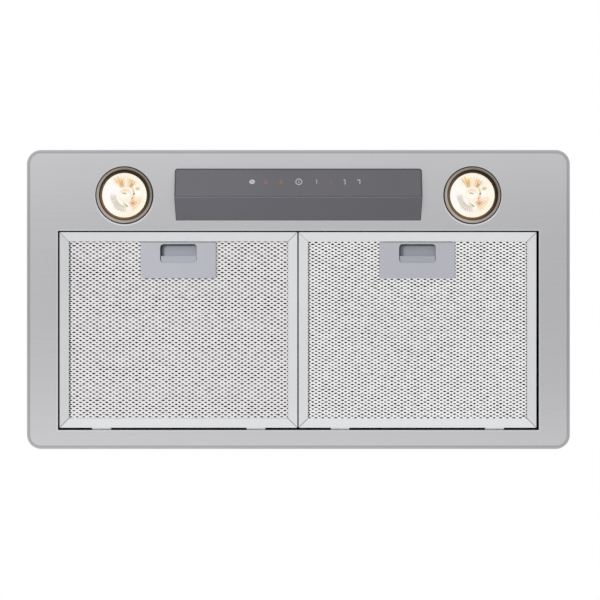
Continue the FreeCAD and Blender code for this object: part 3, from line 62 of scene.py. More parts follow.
SIDES = ("left", "right")

Point = tuple[float, float, float]
Pair = tuple[float, float]
Colour = tuple[float, float, float]
Input = Any  # a value, a socket, a number, a point, a colour or its six digits

log = logging.getLogger("hood_insert")


def from_hex(code: str) -> Colour:
    """Turns a colour as seen into the renderer's linear values.

    Args:
        code: six hexadecimal digits.

    Returns:
        Red, green and blue, each from 0 to 1.
    """
    shares = [int(code[start:start + 2], 16) / 255 for start in (0, 2, 4)]
    return tuple(share / 12.92 if share <= 0.04045 else ((share + 0.055) / 1.055) ** 2.4 for share in shares)


def shade(colour: Colour, share: float) -> Colour:
    """A colour made darker, or lighter above 1."""
    return tuple(min(1.0, part * share) for part in colour)


def corners(node: str) -> tuple[Vector, Vector]:
    """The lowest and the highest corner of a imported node's box, in metres."""
    low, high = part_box(node)
    return Vector(low), Vector(high)


# ---------------------------------------------------------------- recipes for materials


@dataclass(frozen=True)
class Value:
    """A value at every spot of a surface; each sum on values adds a node to their recipe."""

    recipe: "Recipe"
    socket: bpy.types.NodeSocket

    def __add__(self, other: Input) -> "Value":
        """The two added."""
        return self.recipe.math("ADD", self, other)

    def __sub__(self, other: Input) -> "Value":
        """What is left of this after the other is taken away."""
        return self.recipe.math("SUBTRACT", self, other)

    def __rsub__(self, other: Input) -> "Value":
        """What is left of the other after this is taken away."""
        return self.recipe.math("SUBTRACT", other, self)

    def __mul__(self, other: Input) -> "Value":
        """The two multiplied."""
        return self.recipe.math("MULTIPLY", self, other)

    def __abs__(self) -> "Value":
        """This without its sign."""
        return self.recipe.math("ABSOLUTE", self)

    def __truediv__(self, other: Input) -> "Value":
        """This divided by the other."""
        return self.recipe.math("DIVIDE", self, other)

    def above(self, other: Input) -> "Value":
        """The larger of the two."""
        return self.recipe.math("MAXIMUM", self, other)

    def below(self, other: Input) -> "Value":
        """The smaller of the two."""
        return self.recipe.math("MINIMUM", self, other)

    def root(self) -> "Value":
        """This value's square root."""
        return self.recipe.math("SQRT", self)

    def sine(self) -> "Value":
        """The sine of this, an angle in radians."""
        return self.recipe.math("SINE", self)

    def mix(self, share: Input, over: Input, blend: str = "MIX") -> "Value":
        """This colour with another over it by a share, mixed in a way that Blender names."""
        return self.recipe.mix(share, self, over, blend)

    def dim(self, factor: "Value") -> "Value":
        """This colour times a factor that may be above 1."""
        return Value(self.recipe, self.recipe.on_points("SCALE", self, factor).outputs[0])

    def step(self, start: float, end: float, low: float = 0.0, high: float = 1.0) -> "Value":
        """A smooth step from low to high as this goes from start to end."""
        limits = {"From_Min": start, "From_Max": end, "To_Min": low, "To_Max": high}
        return self.recipe.add("MapRange", {"interpolation_type": "SMOOTHSTEP"}, Value=self, **limits)

    def spread(self, low: float, high: float) -> "Value":
        """This moved from 0..1 to low..high."""
        return self.recipe.add("MapRange", Value=self, To_Min=low, To_Max=high)


class Recipe:
    """One material's node tree, built a node at a time."""

    def __init__(self, name: str, world: bool = False) -> None:
        """Starts an empty tree with its output.

        Args:
            name: the material's name.
            world: whether it is the world's surroundings in place of a material.
        """
        self.material = (bpy.data.worlds if world else bpy.data.materials).new(name)
        self.material.use_nodes = True
        self.tree = self.material.node_tree
        self.tree.nodes.clear()
        self.output = self.node("OutputWorld" if world else "OutputMaterial").inputs["Surface"]

    def node(self, kind: str, settings: dict[str, Any] | None = None, **inputs: Input) -> bpy.types.Node:
        """Adds a node.

        Args:
            kind: the node's type, without its common prefix.
            settings: properties of the node itself.
            inputs: what goes into its sockets, with spaces in their names written as underscores.

        Returns:
            The new node.
        """
        made = self.tree.nodes.new("ShaderNode" + kind)
        for key, value in (settings or {}).items():
            setattr(made, key, value)
        for key, value in inputs.items():
            self.feed(made.inputs[key.replace("_", " ")], value)
        return made

    def add(self, kind: str, settings: dict[str, Any] | None = None, **inputs: Input) -> Value:
        """Adds a node, as node() does, and gives the value of its first socket."""
        return Value(self, self.node(kind, settings, **inputs).outputs[0])

    def feed(self, socket: bpy.types.NodeSocket, value: Input) -> None:
        """Links a socket to a value or another socket, or sets its own value.

        Args:
            socket: the socket.
            value: what goes into it.
        """
        if isinstance(value, Value):
            value = value.socket
        elif isinstance(value, str):
            value = from_hex(value)
        if isinstance(value, bpy.types.NodeSocket):
            self.tree.links.new(value, socket)
        elif socket.type == "RGBA" and len(value) == 3:
            socket.default_value = (*value, 1.0)
        else:
            socket.default_value = value

    def math(self, operation: str, *values: Input) -> Value:
        """One sum on values and numbers.

        Args:
            operation: the sum, by its name in Blender.
            values: its terms.

        Returns:
            The result.
        """
        node = self.node("Math", {"operation": operation})
        for socket, value in zip(node.inputs, values):
            self.feed(socket, value)
        return Value(self, node.outputs[0])

    def on_points(self, operation: str, *values: Input) -> bpy.types.Node:
        """One sum on points or colours.

        Args:
            operation: the sum, by its name in Blender.
            values: its terms, a single number going to the socket for a scale.

        Returns:
            The node that holds the sum.
        """
        node = self.node("VectorMath", {"operation": operation})
        sockets = (node.inputs[0], node.inputs["Scale"] if operation == "SCALE" else node.inputs[1])
        for socket, value in zip(sockets, values):
            self.feed(socket, value)
        return node

    def place(self, scale: Point = (1.0, 1.0, 1.0)) -> Value:
        """Where a spot lies in the piece's own coordinates, in metres, stretched by a scale."""
        return self.add("Mapping", Vector=self.node("TexCoord").outputs["Object"], Scale=scale)

    def axes(self) -> tuple[Value, Value]:
        """Where a spot lies to the right and to the rear, in metres."""
        node = self.node("SeparateXYZ", Vector=self.place())
        return Value(self, node.outputs["X"]), Value(self, node.outputs["Y"])

    def around(self, centre: Point, scale: float = 1.0) -> tuple[Value, Value, Value]:
        """Where a spot lies about an upright axis.

        Args:
            centre: a point on the axis, in metres.
            scale: units to the metre.

        Returns:
            How far it lies to the right, to the rear and straight from the axis.
        """
        node = self.node("SeparateXYZ", Vector=self.on_points("SUBTRACT", self.place(), centre).outputs[0])
        x = Value(self, node.outputs["X"]) * scale
        y = Value(self, node.outputs["Y"]) * scale
        return x, y, (x * x + y * y).root()

    def noise(self, scale: float, detail: float, stretch: Point = (1.0, 1.0, 1.0)) -> Value:
        """Cloudy values from 0 to 1: clouds to the metre, octaves of finer ones, scale along each axis."""
        return self.add("TexNoise", Vector=self.place(stretch), Scale=scale, Detail=detail)

    def ramp(self, value: Value, *stops: tuple[float, Colour]) -> Value:
        """Colours along a value.

        Args:
            value: the value that picks the colour.
            stops: places from 0 to 1 with their colours.

        Returns:
            The picked colour.
        """
        node = self.node("ValToRGB", Fac=value)
        elements = node.color_ramp.elements
        while len(elements) < len(stops):
            elements.new(1.0)
        for element, (position, colour) in zip(elements, stops):
            element.position = position
            element.color = (*colour, 1.0)
        return Value(self, node.outputs["Color"])

    def mix(self, share: Input, first: Input, second: Input, blend: str = "MIX") -> Value:
        """Two colours mixed by a share.

        Args:
            share: how much of the second, from 0 to 1.
            first: a colour.
            second: the colour that goes over it.
            blend: how they mix, by its name in Blender.

        Returns:
            The mixed colour.
        """
        node = self.node("Mix", {"data_type": "RGBA", "blend_type": blend})
        for index, value in ((0, share), (6, first), (7, second)):
            self.feed(node.inputs[index], value)
        return Value(self, node.outputs[2])

    def rays(self, *names: str) -> Value:
        """1 for the named kinds of ray, 0 for the others."""
        path = self.node("LightPath")
        return reduce(Value.above, [Value(self, path.outputs["Is %s Ray" % name]) for name in names])

    def blend(self, share: Value, first: Value, second: Value) -> None:
        """Closes the tree with two shaders mixed.

        Args:
            share: how much of the second, from 0 to 1.
            first: a shader.
            second: the other shader.
        """
        node = self.node("MixShader")
        for socket, value in zip(node.inputs, (share, first, second)):
            self.feed(socket, value)
        self.feed(self.output, node.outputs[0])

    def bump(self, height: Value, strength: float, distance: float) -> Value:
        """Surface relief from a height, the distance in metres."""
        return self.add("Bump", Height=height, Strength=strength, Distance=distance)

    def surface(self, **inputs: Input) -> bpy.types.Material:
        """Closes the tree with one physical surface, from the values of its sockets."""
        self.feed(self.output, self.add("BsdfPrincipled", **inputs))
        return self.material

    def lit_surface(self, colour: Value, spots: Iterable["Spot"], x: Value, y: Value) -> bpy.types.Material:
        """Closes the tree with a dark surface that gives off a colour.

        Args:
            colour: the colour.
            spots: patches that are laid over it.
            x: millimetres to the right of the lamp's axis.
            y: millimetres to the rear of it.

        Returns:
            The material.
        """
        flat = self.add("CombineXYZ", X=x, Y=y)
        for spot in spots:
            colour = spot.lay(flat, colour)
        dark = {"Base_Color": (0.01, 0.01, 0.01), "Roughness": 0.6, "Specular_IOR_Level": 0.0}
        return self.surface(Emission_Color=colour, Emission_Strength=1.0, **dark)


# ---------------------------------------------------------------- finishes


class Grain(Enum):
    """Directions in which a metal can be brushed, as clouds to the metre along each axis."""

    ALONG_X = (3.0, 420.0, 420.0)
    ALONG_Y = (420.0, 3.0, 420.0)
    NONE = (60.0, 60.0, 60.0)


@dataclass(frozen=True)
class BrushedMetal:
    """Sheet or bar metal with a fine brushed grain."""

    name: str
    tone: str
    grain: Grain = Grain.NONE
    roughness: float = 0.34
    contrast: float = 0.10
    anisotropy: float = 0.0

    def shading(self, colour: Value) -> Value:
        """The colour with whatever changes from place to place; plain metal has nothing."""
        return colour

    def make(self) -> bpy.types.Material:
        """Builds the metal: long scratches, faint clouds and a soft handling haze.

        Returns:
            The material.
        """
        recipe = Recipe(self.name)
        base = from_hex(self.tone)
        lines = recipe.noise(1.0, 4.0, self.grain.value)
        dark, light = (shade(base, 1 + change) for change in (-self.contrast, self.contrast))
        streaks = recipe.ramp(lines, (0.3, dark), (0.7, light))
        haze = recipe.ramp(recipe.noise(7.0, 2.0), (0.3, (0.97, 0.97, 0.975)), (0.7, (1.0, 1.0, 1.0)))
        return recipe.surface(
            Base_Color=self.shading(streaks.mix(1.0, haze, "MULTIPLY")),
            Metallic=1.0,
            Roughness=lines.spread(self.roughness - 0.06, self.roughness + 0.08),
            Anisotropic=self.anisotropy,
            Normal=recipe.bump(lines, 0.12, 0.02 * MM),
        )


@dataclass(frozen=True)
class PlateMetal(BrushedMetal):
    """The face plate's sheet, with a painted shading gradient across it, painted shade on the folded rim and
    painted highlights on the pressed edges.
    """

    # These four shape a painted shading gradient across the plate.
    level: float = 1.012
    fall: float = -0.194
    lean: float = 0.13
    rise: float = 9.7
    corner: float = 14.0 * MM
    rim: float = 3.6 * MM
    # These two shares are painted shade on the folded rim and a painted highlight on its outer edge.
    rim_shade_share: float = 0.70
    edge_highlight_share: float = 1.16
    window: tuple[float, float, float, float] = (-233.0 * MM, 233.0 * MM, -66.5 * MM, 126.5 * MM)
    # These two place a painted glint along the window's edge.
    lip: float = 0.9 * MM
    glint: float = 0.12
    # These two place a painted highlight ring round each lamp.
    lamp: Pair = (168.6 * MM, -101.0 * MM)
    halo: float = 28.6 * MM

    def shading(self, colour: Value) -> Value:
        """Lays a painted shading gradient, painted shade on the rim, a painted glint along the window's lip
        and painted highlight rings round the lamps on the brushed colour.

        Args:
            colour: the brushed colour.

        Returns:
            The shaded colour.
        """
        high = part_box("face_plate")[1]
        x, y = colour.recipe.axes()
        # Painted shading gradient across the plate.
        painted_gradient = y * y * self.rise + y * self.lean + x * self.fall + self.level
        beyond_x, beyond_y = abs(x) - (high[0] - self.corner), abs(y) - (high[1] - self.corner)
        out_x, out_y = beyond_x.above(0.0), beyond_y.above(0.0)
        straight = beyond_x.above(beyond_y).below(0.0)
        inward = (out_x * out_x + out_y * out_y).root() + straight - self.corner
        # Painted shade on the folded rim, then a painted highlight on its outer edge.
        inner = inward.step(-self.rim - 0.5 * MM, -self.rim + 0.1 * MM, 1.0, self.rim_shade_share)
        outer = inward.step(-self.rim * 0.7, 0.0, 1.0, self.edge_highlight_share)
        left, right, front, rear = self.window
        past = (left - x).above(x - right).above((front - y).above(y - rear))
        # Painted glint along the window's edge.
        lip = abs(past - self.lip).step(0.3 * MM, 0.8 * MM, 1.0 + self.glint, 1.0)
        from_x, from_y = abs(x) - self.lamp[0], y - self.lamp[1]
        away = (from_x * from_x + from_y * from_y).root()
        # Painted highlight ring round each lamp, strongest toward the rear.
        ring = abs(away - self.halo).step(0.3 * MM, 1.4 * MM, 1.0, 0.0)
        pressed = ring * from_y.step(0.0, 26.0 * MM, 0.04, 0.42) + 1.0
        return colour.dim(inner * outer * (painted_gradient * lip) * pressed)


@dataclass(frozen=True)
class BarMetal(BrushedMetal):
    """A filter frame's folded bars, each with its own painted shade of light, and the mitres between them."""

    side: str = "left"
    # Painted shades of light for the left, right, front and rear bars.
    shares: tuple[float, float, float, float] = (0.92, 1.04, 1.02, 1.1)
    mitre: float = 0.5 * MM
    mitre_depth: float = 0.8
    front_mitres: Pair = (0.12, 0.75)

    def shading(self, colour: Value) -> Value:
        """Paints a different shade of light on each of the left, right, front and rear bars and draws the
        mitres.

        Args:
            colour: the metal's colour.

        Returns:
            The shaded colour.
        """
        low, high = corners("filter_frame_" + self.side)
        middle, half = (low + high) / 2, (high - low) / 2
        x, y = colour.recipe.axes()
        across, along = x - middle.x, y - middle.y
        apart = (half.x - abs(across)) - (half.y - abs(along))
        left, right, front, rear = self.shares
        # Painted shade of light, one share for each bar.
        side_bar_light, end_bar_light = across.step(-MM, MM, left, right), along.step(-MM, MM, front, rear)
        bars = apart.step(-0.1 * MM, 0.1 * MM) * (end_bar_light - side_bar_light) + side_bar_light
        line = abs(apart).step(self.mitre * 0.4, self.mitre, self.mitre_depth, 0.0)
        faint = along.step(-MM, MM, 1.0, 0.0) * (1.0 - across.step(-MM, MM, *self.front_mitres))
        return colour.dim(bars * (1.0 - line * (1.0 - faint)))


@dataclass(frozen=True)
class BezelMetal(BrushedMetal):
    """A lamp bezel, with painted light that is lightest to the rear left and a painted shadow along its lip
    that is widest to the front right.
    """

    centre: Point = (0.0, 0.0, 0.0)
    # The lip and its tone make a painted shadow inside the bezel.
    lip: float = 24.75 * MM
    lip_shadow_tone: str = "43372a"

    def shading(self, colour: Value) -> Value:
        """Paints light round the ring, lightest to the rear left, and a painted shadow along the lip.

        Args:
            colour: the metal's colour.

        Returns:
            The shaded colour.
        """
        x, y, radius = colour.recipe.around(self.centre)
        # Painted light, lightest to the rear left.
        toward = (y * 0.72 - x * 0.7) / radius
        # Painted shadow along the lip, widest to the front right.
        dark = (radius - (toward * (-0.45 * MM) + self.lip)).step(-0.2 * MM, 0.35 * MM, 0.85, 0.0)
        return colour.dim(toward * 0.3 + 1.0).mix(dark, self.lip_shadow_tone)


@dataclass(frozen=True)
class RecessMetal(BrushedMetal):
    """The lamp's rim in its recess: dark bronze, with painted shade round it that is lightest to the rear
    left, and painted amber lens light on the rear left of its inner edge.
    """

    centre: Point = (0.0, 0.0, 0.0)
    inner: float = 22.0 * MM
    # Painted amber lens light on the inner edge.
    amber: str = "a87c48"

    def shading(self, colour: Value) -> Value:
        """Paints shade round the rim and a painted amber glow on the inner edge where the lens lights it.

        Args:
            colour: the metal's colour.

        Returns:
            The shaded colour.
        """
        x, y, radius = colour.recipe.around(self.centre)
        toward = y * 0.9 - x * 0.8
        # Painted shade round the rim, lightest to the rear left, then painted amber lens light on the inner
        # edge.
        turned = colour.dim(toward.step(-26.0 * MM, 30.0 * MM, 0.75, 2.4))
        lit = toward.step(2.0 * MM, 22.0 * MM)
        close = radius.step(self.inner + 0.1 * MM, self.inner + 0.8 * MM, 0.7, 0.0)
        return turned.mix(lit * close, self.amber)


@dataclass(frozen=True)
class Galvanised:
    """Zinc-coated sheet with its crystal spangle."""

    name: str = "galvanised"
    tone: str = "a9adb0"
    crystals: tuple[Pair, ...] = ((105.0, 0.004), (260.0, 0.0015))

    def make(self) -> bpy.types.Material:
        """Builds the sheet: two sizes of feathered crystals that differ in tone and gloss.

        Returns:
            The material.
        """
        recipe = Recipe(self.name)
        base = from_hex(self.tone)
        tones = []
        for scale, feather in self.crystals:
            bend = recipe.node("TexNoise", Vector=recipe.place(), Scale=scale * 2.0).outputs["Color"]
            bent = recipe.place().mix(feather, bend)
            spangle = recipe.node(
                "TexVoronoi", {"feature": "SMOOTH_F1"}, Vector=bent, Scale=scale, Smoothness=0.12
            )
            tones.append(recipe.add("SeparateColor", Color=spangle.outputs["Color"]))
        tone = tones[1] * 0.4 + tones[0] * 0.6
        colour = recipe.ramp(tone, (0.1, shade(base, 0.84)), (0.5, base), (0.9, shade(base, 1.14)))
        stain = recipe.noise(6.0, 3.0).step(0.5, 0.75, 0.0, 0.35)
        return recipe.surface(
            Base_Color=colour.mix(stain, shade(base, 0.82)),
            Metallic=0.85,
            Roughness=tone.spread(0.34, 0.52),
            Normal=recipe.bump(recipe.noise(900.0, 3.0), 0.08, 0.03 * MM),
        )


@dataclass(frozen=True)
class MouldedPlastic:
    """Injection-moulded plastic with a fine spark texture."""

    name: str
    tone: str
    roughness: float = 0.45
    texture: float = 0.12

    def tint(self, colour: Value) -> Value:
        """The colour with whatever changes from place to place; plain plastic has nothing."""
        return colour

    def make(self) -> bpy.types.Material:
        """Builds the plastic: a pebbled skin, slight flow marks and slightly uneven gloss.

        Returns:
            The material.
        """
        recipe = Recipe(self.name)
        base = from_hex(self.tone)
        pebble = recipe.noise(2600.0, 2.0)
        flow = recipe.ramp(recipe.noise(9.0, 3.0), (0.3, shade(base, 0.97)), (0.7, shade(base, 1.03)))
        return recipe.surface(
            Base_Color=self.tint(flow),
            Roughness=pebble.spread(self.roughness - 0.05, self.roughness + 0.08),
            Specular_IOR_Level=0.4,
            Normal=recipe.bump(pebble, self.texture, 0.04 * MM),
        )


@dataclass(frozen=True)
class ControlPlastic(MouldedPlastic):
    """The control body's plastic, with painted shade on the edge round the touch panel and a painted
    highlight along the ridge.
    """

    # Tones of the painted edge shade and of the painted ridge highlight.
    edge_shade_tone: str = "464548"
    ridge_highlight_tone: str = "707074"
    ridge: float = -97.6 * MM

    def tint(self, colour: Value) -> Value:
        """Paints shade on what lies in front of the ridge and at the ends, and a highlight along the ridge.

        Args:
            colour: the plastic's colour.

        Returns:
            The tinted colour.
        """
        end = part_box("control_body")[1][0]
        x, y = colour.recipe.axes()
        # Painted shade in front of the ridge and at the ends.
        ahead = y.step(self.ridge - 0.9 * MM, self.ridge - 0.5 * MM, 1.0, 0.0)
        ends = abs(x).step(end - 0.9 * MM, end - 0.3 * MM)
        # Painted highlight along the ridge.
        ridge_highlight = abs(y - self.ridge).step(0.35 * MM, 0.6 * MM, 1.0, 0.0)
        return colour.mix(ahead.above(ends), self.edge_shade_tone).mix(ridge_highlight, self.ridge_highlight_tone)


@dataclass(frozen=True)
class CasePlastic(MouldedPlastic):
    """A latch case's plastic, with painted shade along its front edge and its right edge."""

    side: str = "left"

    def tint(self, colour: Value) -> Value:
        """Paints shade along the two edges of the face.

        Args:
            colour: the plastic's colour.

        Returns:
            The tinted colour.
        """
        low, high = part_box("latch_case_" + self.side)
        x, y = colour.recipe.axes()
        # Painted shade along the right edge and the front edge.
        right = x.step(high[0] - 1.0 * MM, high[0] - 0.3 * MM, 1.0, 0.62)
        return colour.dim(right * y.step(low[1] + 0.3 * MM, low[1] + 1.2 * MM, 0.72, 1.0))


@dataclass(frozen=True)
class SliderPlastic(MouldedPlastic):
    """A latch slider's plastic, with painted shade on the pocket's floor and painted shadows by its left and
    front walls.
    """

    side: str = "left"
    floor: Pair = (2.0 * MM, 13.5 * MM)
    half: float = 17.8 * MM

    def tint(self, colour: Value) -> Value:
        """Paints shade on the floor between the pocket's front side and the grip, with painted shadows by its
        left and front walls.

        Args:
            colour: the plastic's colour.

        Returns:
            The tinted colour.
        """
        low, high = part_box("latch_case_" + self.side)
        x, y = colour.recipe.axes()
        front, rear = (low[1] + edge for edge in self.floor)
        left = (low[0] + high[0]) / 2 - self.half
        # Painted shade on the pocket's floor, with painted shadows by its front and left walls.
        on_floor = y.step(rear - 0.2 * MM, rear, 1.0, 0.0)
        deep = y.step(front + 0.8 * MM, rear, 0.66, 0.82)
        front_wall_shadow = y.step(front + 0.6 * MM, front + 2.4 * MM, 0.42, 1.0)
        left_wall_shadow = x.step(left + 1.2 * MM, left + 2.3 * MM, 0.26, 1.0)
        # Painted shadow along the grip's left side.
        edge = x.step(left + 0.4 * MM, left + 1.0 * MM, 0.72, 0.93)
        return colour.dim(on_floor * (deep * front_wall_shadow * left_wall_shadow - edge) + edge)


@dataclass(frozen=True)
class PaintedMetal:
    """Stove-enamelled metal with light orange peel."""

    name: str
    tone: str
    roughness: float = 0.4

    def make(self) -> bpy.types.Material:
        """Builds the paint: orange peel, and thinner paint where clouds say so.

        Returns:
            The material.
        """
        recipe = Recipe(self.name)
        base = from_hex(self.tone)
        clouds = recipe.noise(30.0, 4.0)
        return recipe.surface(
            Base_Color=recipe.ramp(clouds, (0.35, shade(base, 0.85)), (0.7, shade(base, 1.1))),
            Roughness=clouds.spread(self.roughness - 0.05, self.roughness + 0.1),
            Coat_Weight=0.2,
            Normal=recipe.bump(recipe.noise(700.0, 1.0), 0.1, 0.05 * MM),
        )


@dataclass(frozen=True)
class Speckled:
    """Ceramic, rubber or board: a plain body with speckle."""

    name: str
    tone: str
    speckle: str
    roughness: float
    grains: float = 500.0

    def make(self) -> bpy.types.Material:
        """Builds the speckled body.

        Returns:
            The material.
        """
        recipe = Recipe(self.name)
        spots = recipe.noise(self.grains, 5.0)
        return recipe.surface(
            Base_Color=recipe.ramp(spots, (0.42, from_hex(self.tone)), (0.75, from_hex(self.speckle))),
            Roughness=spots.spread(self.roughness - 0.06, self.roughness + 0.06),
            Normal=recipe.bump(spots, 0.1, 0.05 * MM),
        )


@dataclass(frozen=True)
class Glow:
    """A lit or printed mark."""

    name: str
    tone: str
    strength: float

    def make(self) -> bpy.types.Material:
        """Builds the light: a dim body with emission of its own colour.

        Returns:
            The material.
        """
        recipe = Recipe(self.name)
        base = from_hex(self.tone)
        colour = recipe.ramp(recipe.noise(1500.0, 2.0), (0.3, shade(base, 0.9)), (0.7, base))
        return recipe.surface(
            Base_Color=colour, Roughness=0.5, Emission_Color=colour, Emission_Strength=self.strength
        )


@dataclass(frozen=True)
class RayFan:
    """A sector of fine coloured rays in the lit bowl, in millimetres and degrees from right to rear."""

    tone: str
    reach: Pair
    angle: float
    spread: float
    share: float = 0.9
    rays: float = 0.6

    def lay(self, turn: Value, radius: Value, dark: Value, under: Value) -> Value:
        """Lays the fan over the colour so far.

        Args:
            turn: the angle about the lamp's axis.
            radius: the distance from the lamp's axis.
            dark: how much of a ray lies here, from 0 to 1.
            under: the colour so far.

        Returns:
            The colour with the fan on it.
        """
        off = turn.recipe.math("WRAP", turn - math.radians(self.angle), math.pi, -math.pi)
        wide = math.radians(self.spread)
        near, far = self.reach
        sector = abs(off).step(wide * 0.45, wide * 1.2, 1.0, 0.0)
        ring = radius.step(near - 0.6, near + 0.8) * radius.step(far - 1.6, far, 1.0, 0.0)
        cut = dark * self.rays + (1.0 - self.rays)
        return under.mix(sector * ring * (cut * self.share), self.tone)


@dataclass(frozen=True)
class Spot:
    """A small soft patch in the lit bowl, in millimetres from the lamp's axis."""

    tone: str
    centre: Pair
    size: Pair
    turn: float = 0.0
    share: float = 0.9

    def lay(self, flat: Value, under: Value) -> Value:
        """Lays the patch over the colour so far.

        Args:
            flat: the place from the lamp's axis.
            under: the colour so far.

        Returns:
            The colour with the patch on it.
        """
        recipe = flat.recipe
        turned = (0.0, 0.0, math.radians(self.turn))
        ellipse = {"Location": (*self.centre, 0.0), "Rotation": turned, "Scale": (*self.size, 1.0)}
        local = recipe.add("Mapping", {"vector_type": "TEXTURE"}, Vector=flat, **ellipse)
        away = Value(recipe, recipe.on_points("LENGTH", local).outputs["Value"])
        return under.mix(away.step(0.4, 1.1, self.share, 0.0), self.tone)


@dataclass(frozen=True)
class LitBowl:
    """Bright faceted reflector behind the lens, with warm ray fans around the burner."""

    name: str
    centre: Point
    hot: str = "fffdfd"
    ray_tone: str = "f8ece4"
    ray_count: float = 38.0
    fans: tuple[RayFan, ...] = (
        RayFan("fcf1d6", (14.0, 23.0), 50.0, 75.0, 0.7, 0.3),
        RayFan("fbf0dc", (13.0, 23.0), -75.0, 60.0, 0.7, 0.4),
        RayFan("f8e3c4", (7.5, 19.0), -86.0, 42.0, 0.8, 0.5),
        RayFan("eec88a", (14.0, 20.5), -117.0, 12.0, 0.9, 0.7),
        RayFan("e6b562", (8.5, 17.5), -108.0, 16.0, 0.95, 0.55),
        RayFan("cb9440", (9.5, 15.0), -106.0, 10.0, 0.8, 0.5),
        RayFan("e8b878", (9.5, 17.5), -63.0, 17.0, 0.95, 0.6),
        RayFan("9c8340", (9.5, 14.5), -59.0, 7.0, 0.9, 0.4),
        RayFan("f5cf9f", (6.5, 17.5), 36.0, 34.0, 0.95, 0.7),
        RayFan("d8964e", (7.5, 14.0), 44.0, 20.0, 0.9, 0.7),
        RayFan("cfc3b6", (9.8, 16.6), 112.0, 30.0, 0.95, 0.55),
        RayFan("cdbfb2", (8.6, 15.2), 156.0, 34.0, 0.95, 0.55),
        RayFan("bcbf9c", (9.3, 12.4), 120.0, 34.0, 0.6, 0.5),
    )
    spots: tuple[Spot, ...] = (
        Spot("cdc48c", (12.2, -6.9), (2.9, 2.1), -15.0),
        Spot("e8c88a", (7.9, -5.2), (1.5, 3.6), -12.0, 0.8),
        Spot("e9c48c", (7.9, 0.2), (1.6, 4.2), 12.0, 0.6),
        Spot("7c5420", (8.5, -1.9), (1.1, 1.7), 20.0),
        Spot("6c4a1c", (6.2, 2.4), (1.2, 1.6), 35.0),
        Spot("b87a48", (7.4, 7.4), (1.6, 1.3), 0.0, 0.7),
        Spot("dcc682", (-0.6, 8.2), (3.2, 1.1), 28.0),
        Spot("a0963e", (1.5, 9.8), (2.4, 1.0), 34.0),
    )

    def make(self) -> bpy.types.Material:
        """Builds the lit bowl: white heat, polar streaks, and the fans and spots laid over it.

        Returns:
            The material.
        """
        recipe = Recipe(self.name)
        x, y, radius = recipe.around(self.centre, 1.0 / MM)
        turn = recipe.math("ARCTAN2", y, x)
        polar = recipe.add("CombineXYZ", X=turn, Y=radius)
        drawn_out = recipe.add("Mapping", Vector=polar, Scale=(9.0, 0.22, 1.0))
        chance = recipe.add("TexNoise", Vector=drawn_out, Scale=1.0, Detail=3.0, Roughness=0.65)
        ray = (turn * self.ray_count).sine() * 0.26 + chance
        dark = ray.step(0.34, 0.7)
        colour = recipe.mix(ray.step(0.62, 0.95, 0.0, 0.7), self.hot, self.ray_tone)
        for fan in self.fans:
            colour = fan.lay(turn, radius, dark, colour)
        return recipe.lit_surface(colour, self.spots, x, y)


@dataclass(frozen=True)
class BurnerGlow:
    """The lit cap in the middle of the bowl: peach toward the front, white toward the rear."""

    name: str
    centre: Point
    rear_tone: str = "fffcf6"
    front_tone: str = "f6dfbf"
    ring_tone: str = "e0b878"
    rim_tone: str = "e8c48c"
    reach: float = 6.6
    ring_turns: float = 2.9
    spots: tuple[Spot, ...] = (
        Spot("a39d62", (0.6, 0.6), (2.6, 0.9), 14.0),
        Spot("b8b07a", (-0.9, 0.2), (1.2, 0.8), -30.0, 0.8),
        Spot("d6b48c", (0.4, -4.0), (1.0, 0.7), 0.0, 0.5),
        Spot("fffdf8", (0.0, 3.4), (3.2, 2.0), 0.0, 0.8),
    )

    def make(self) -> bpy.types.Material:
        """Builds the cap's shades, its fine rings and the mark of its filament.

        Returns:
            The material.
        """
        recipe = Recipe(self.name)
        x, y, radius = recipe.around(self.centre, 1.0 / MM)
        ahead = y.step(-4.5, 2.0, 1.0, 0.0)
        rings = (radius * self.ring_turns).sine().step(0.2, 1.0, 0.0, 0.5)
        rim = radius.step(self.reach - 1.3, self.reach - 0.2, 0.0, 0.7)
        colour = recipe.mix(ahead, self.rear_tone, self.front_tone).mix(rings * ahead, self.ring_tone)
        colour = colour.mix(rim * ahead.spread(0.3, 1.0), self.rim_tone)
        return recipe.lit_surface(colour, self.spots, x, y)


@dataclass(frozen=True)
class ClearGlass:
    """Clear pressed glass."""

    name: str = "lamp_glass"
    tone: str = "fffdf8"

    def make(self) -> bpy.types.Material:
        """Builds the glass with the faint ripple of a pressing.

        Returns:
            The material.
        """
        recipe = Recipe(self.name)
        return recipe.surface(
            Base_Color=self.tone,
            Roughness=0.02,
            IOR=1.45,
            Transmission_Weight=1.0,
            Normal=recipe.bump(recipe.noise(260.0, 1.0), 0.05, 0.04 * MM),
        )


class Finish(Protocol):
    """What every finish has: a name, and a way to make its material."""

    name: str

    def make(self) -> bpy.types.Material:
        """Builds the material."""


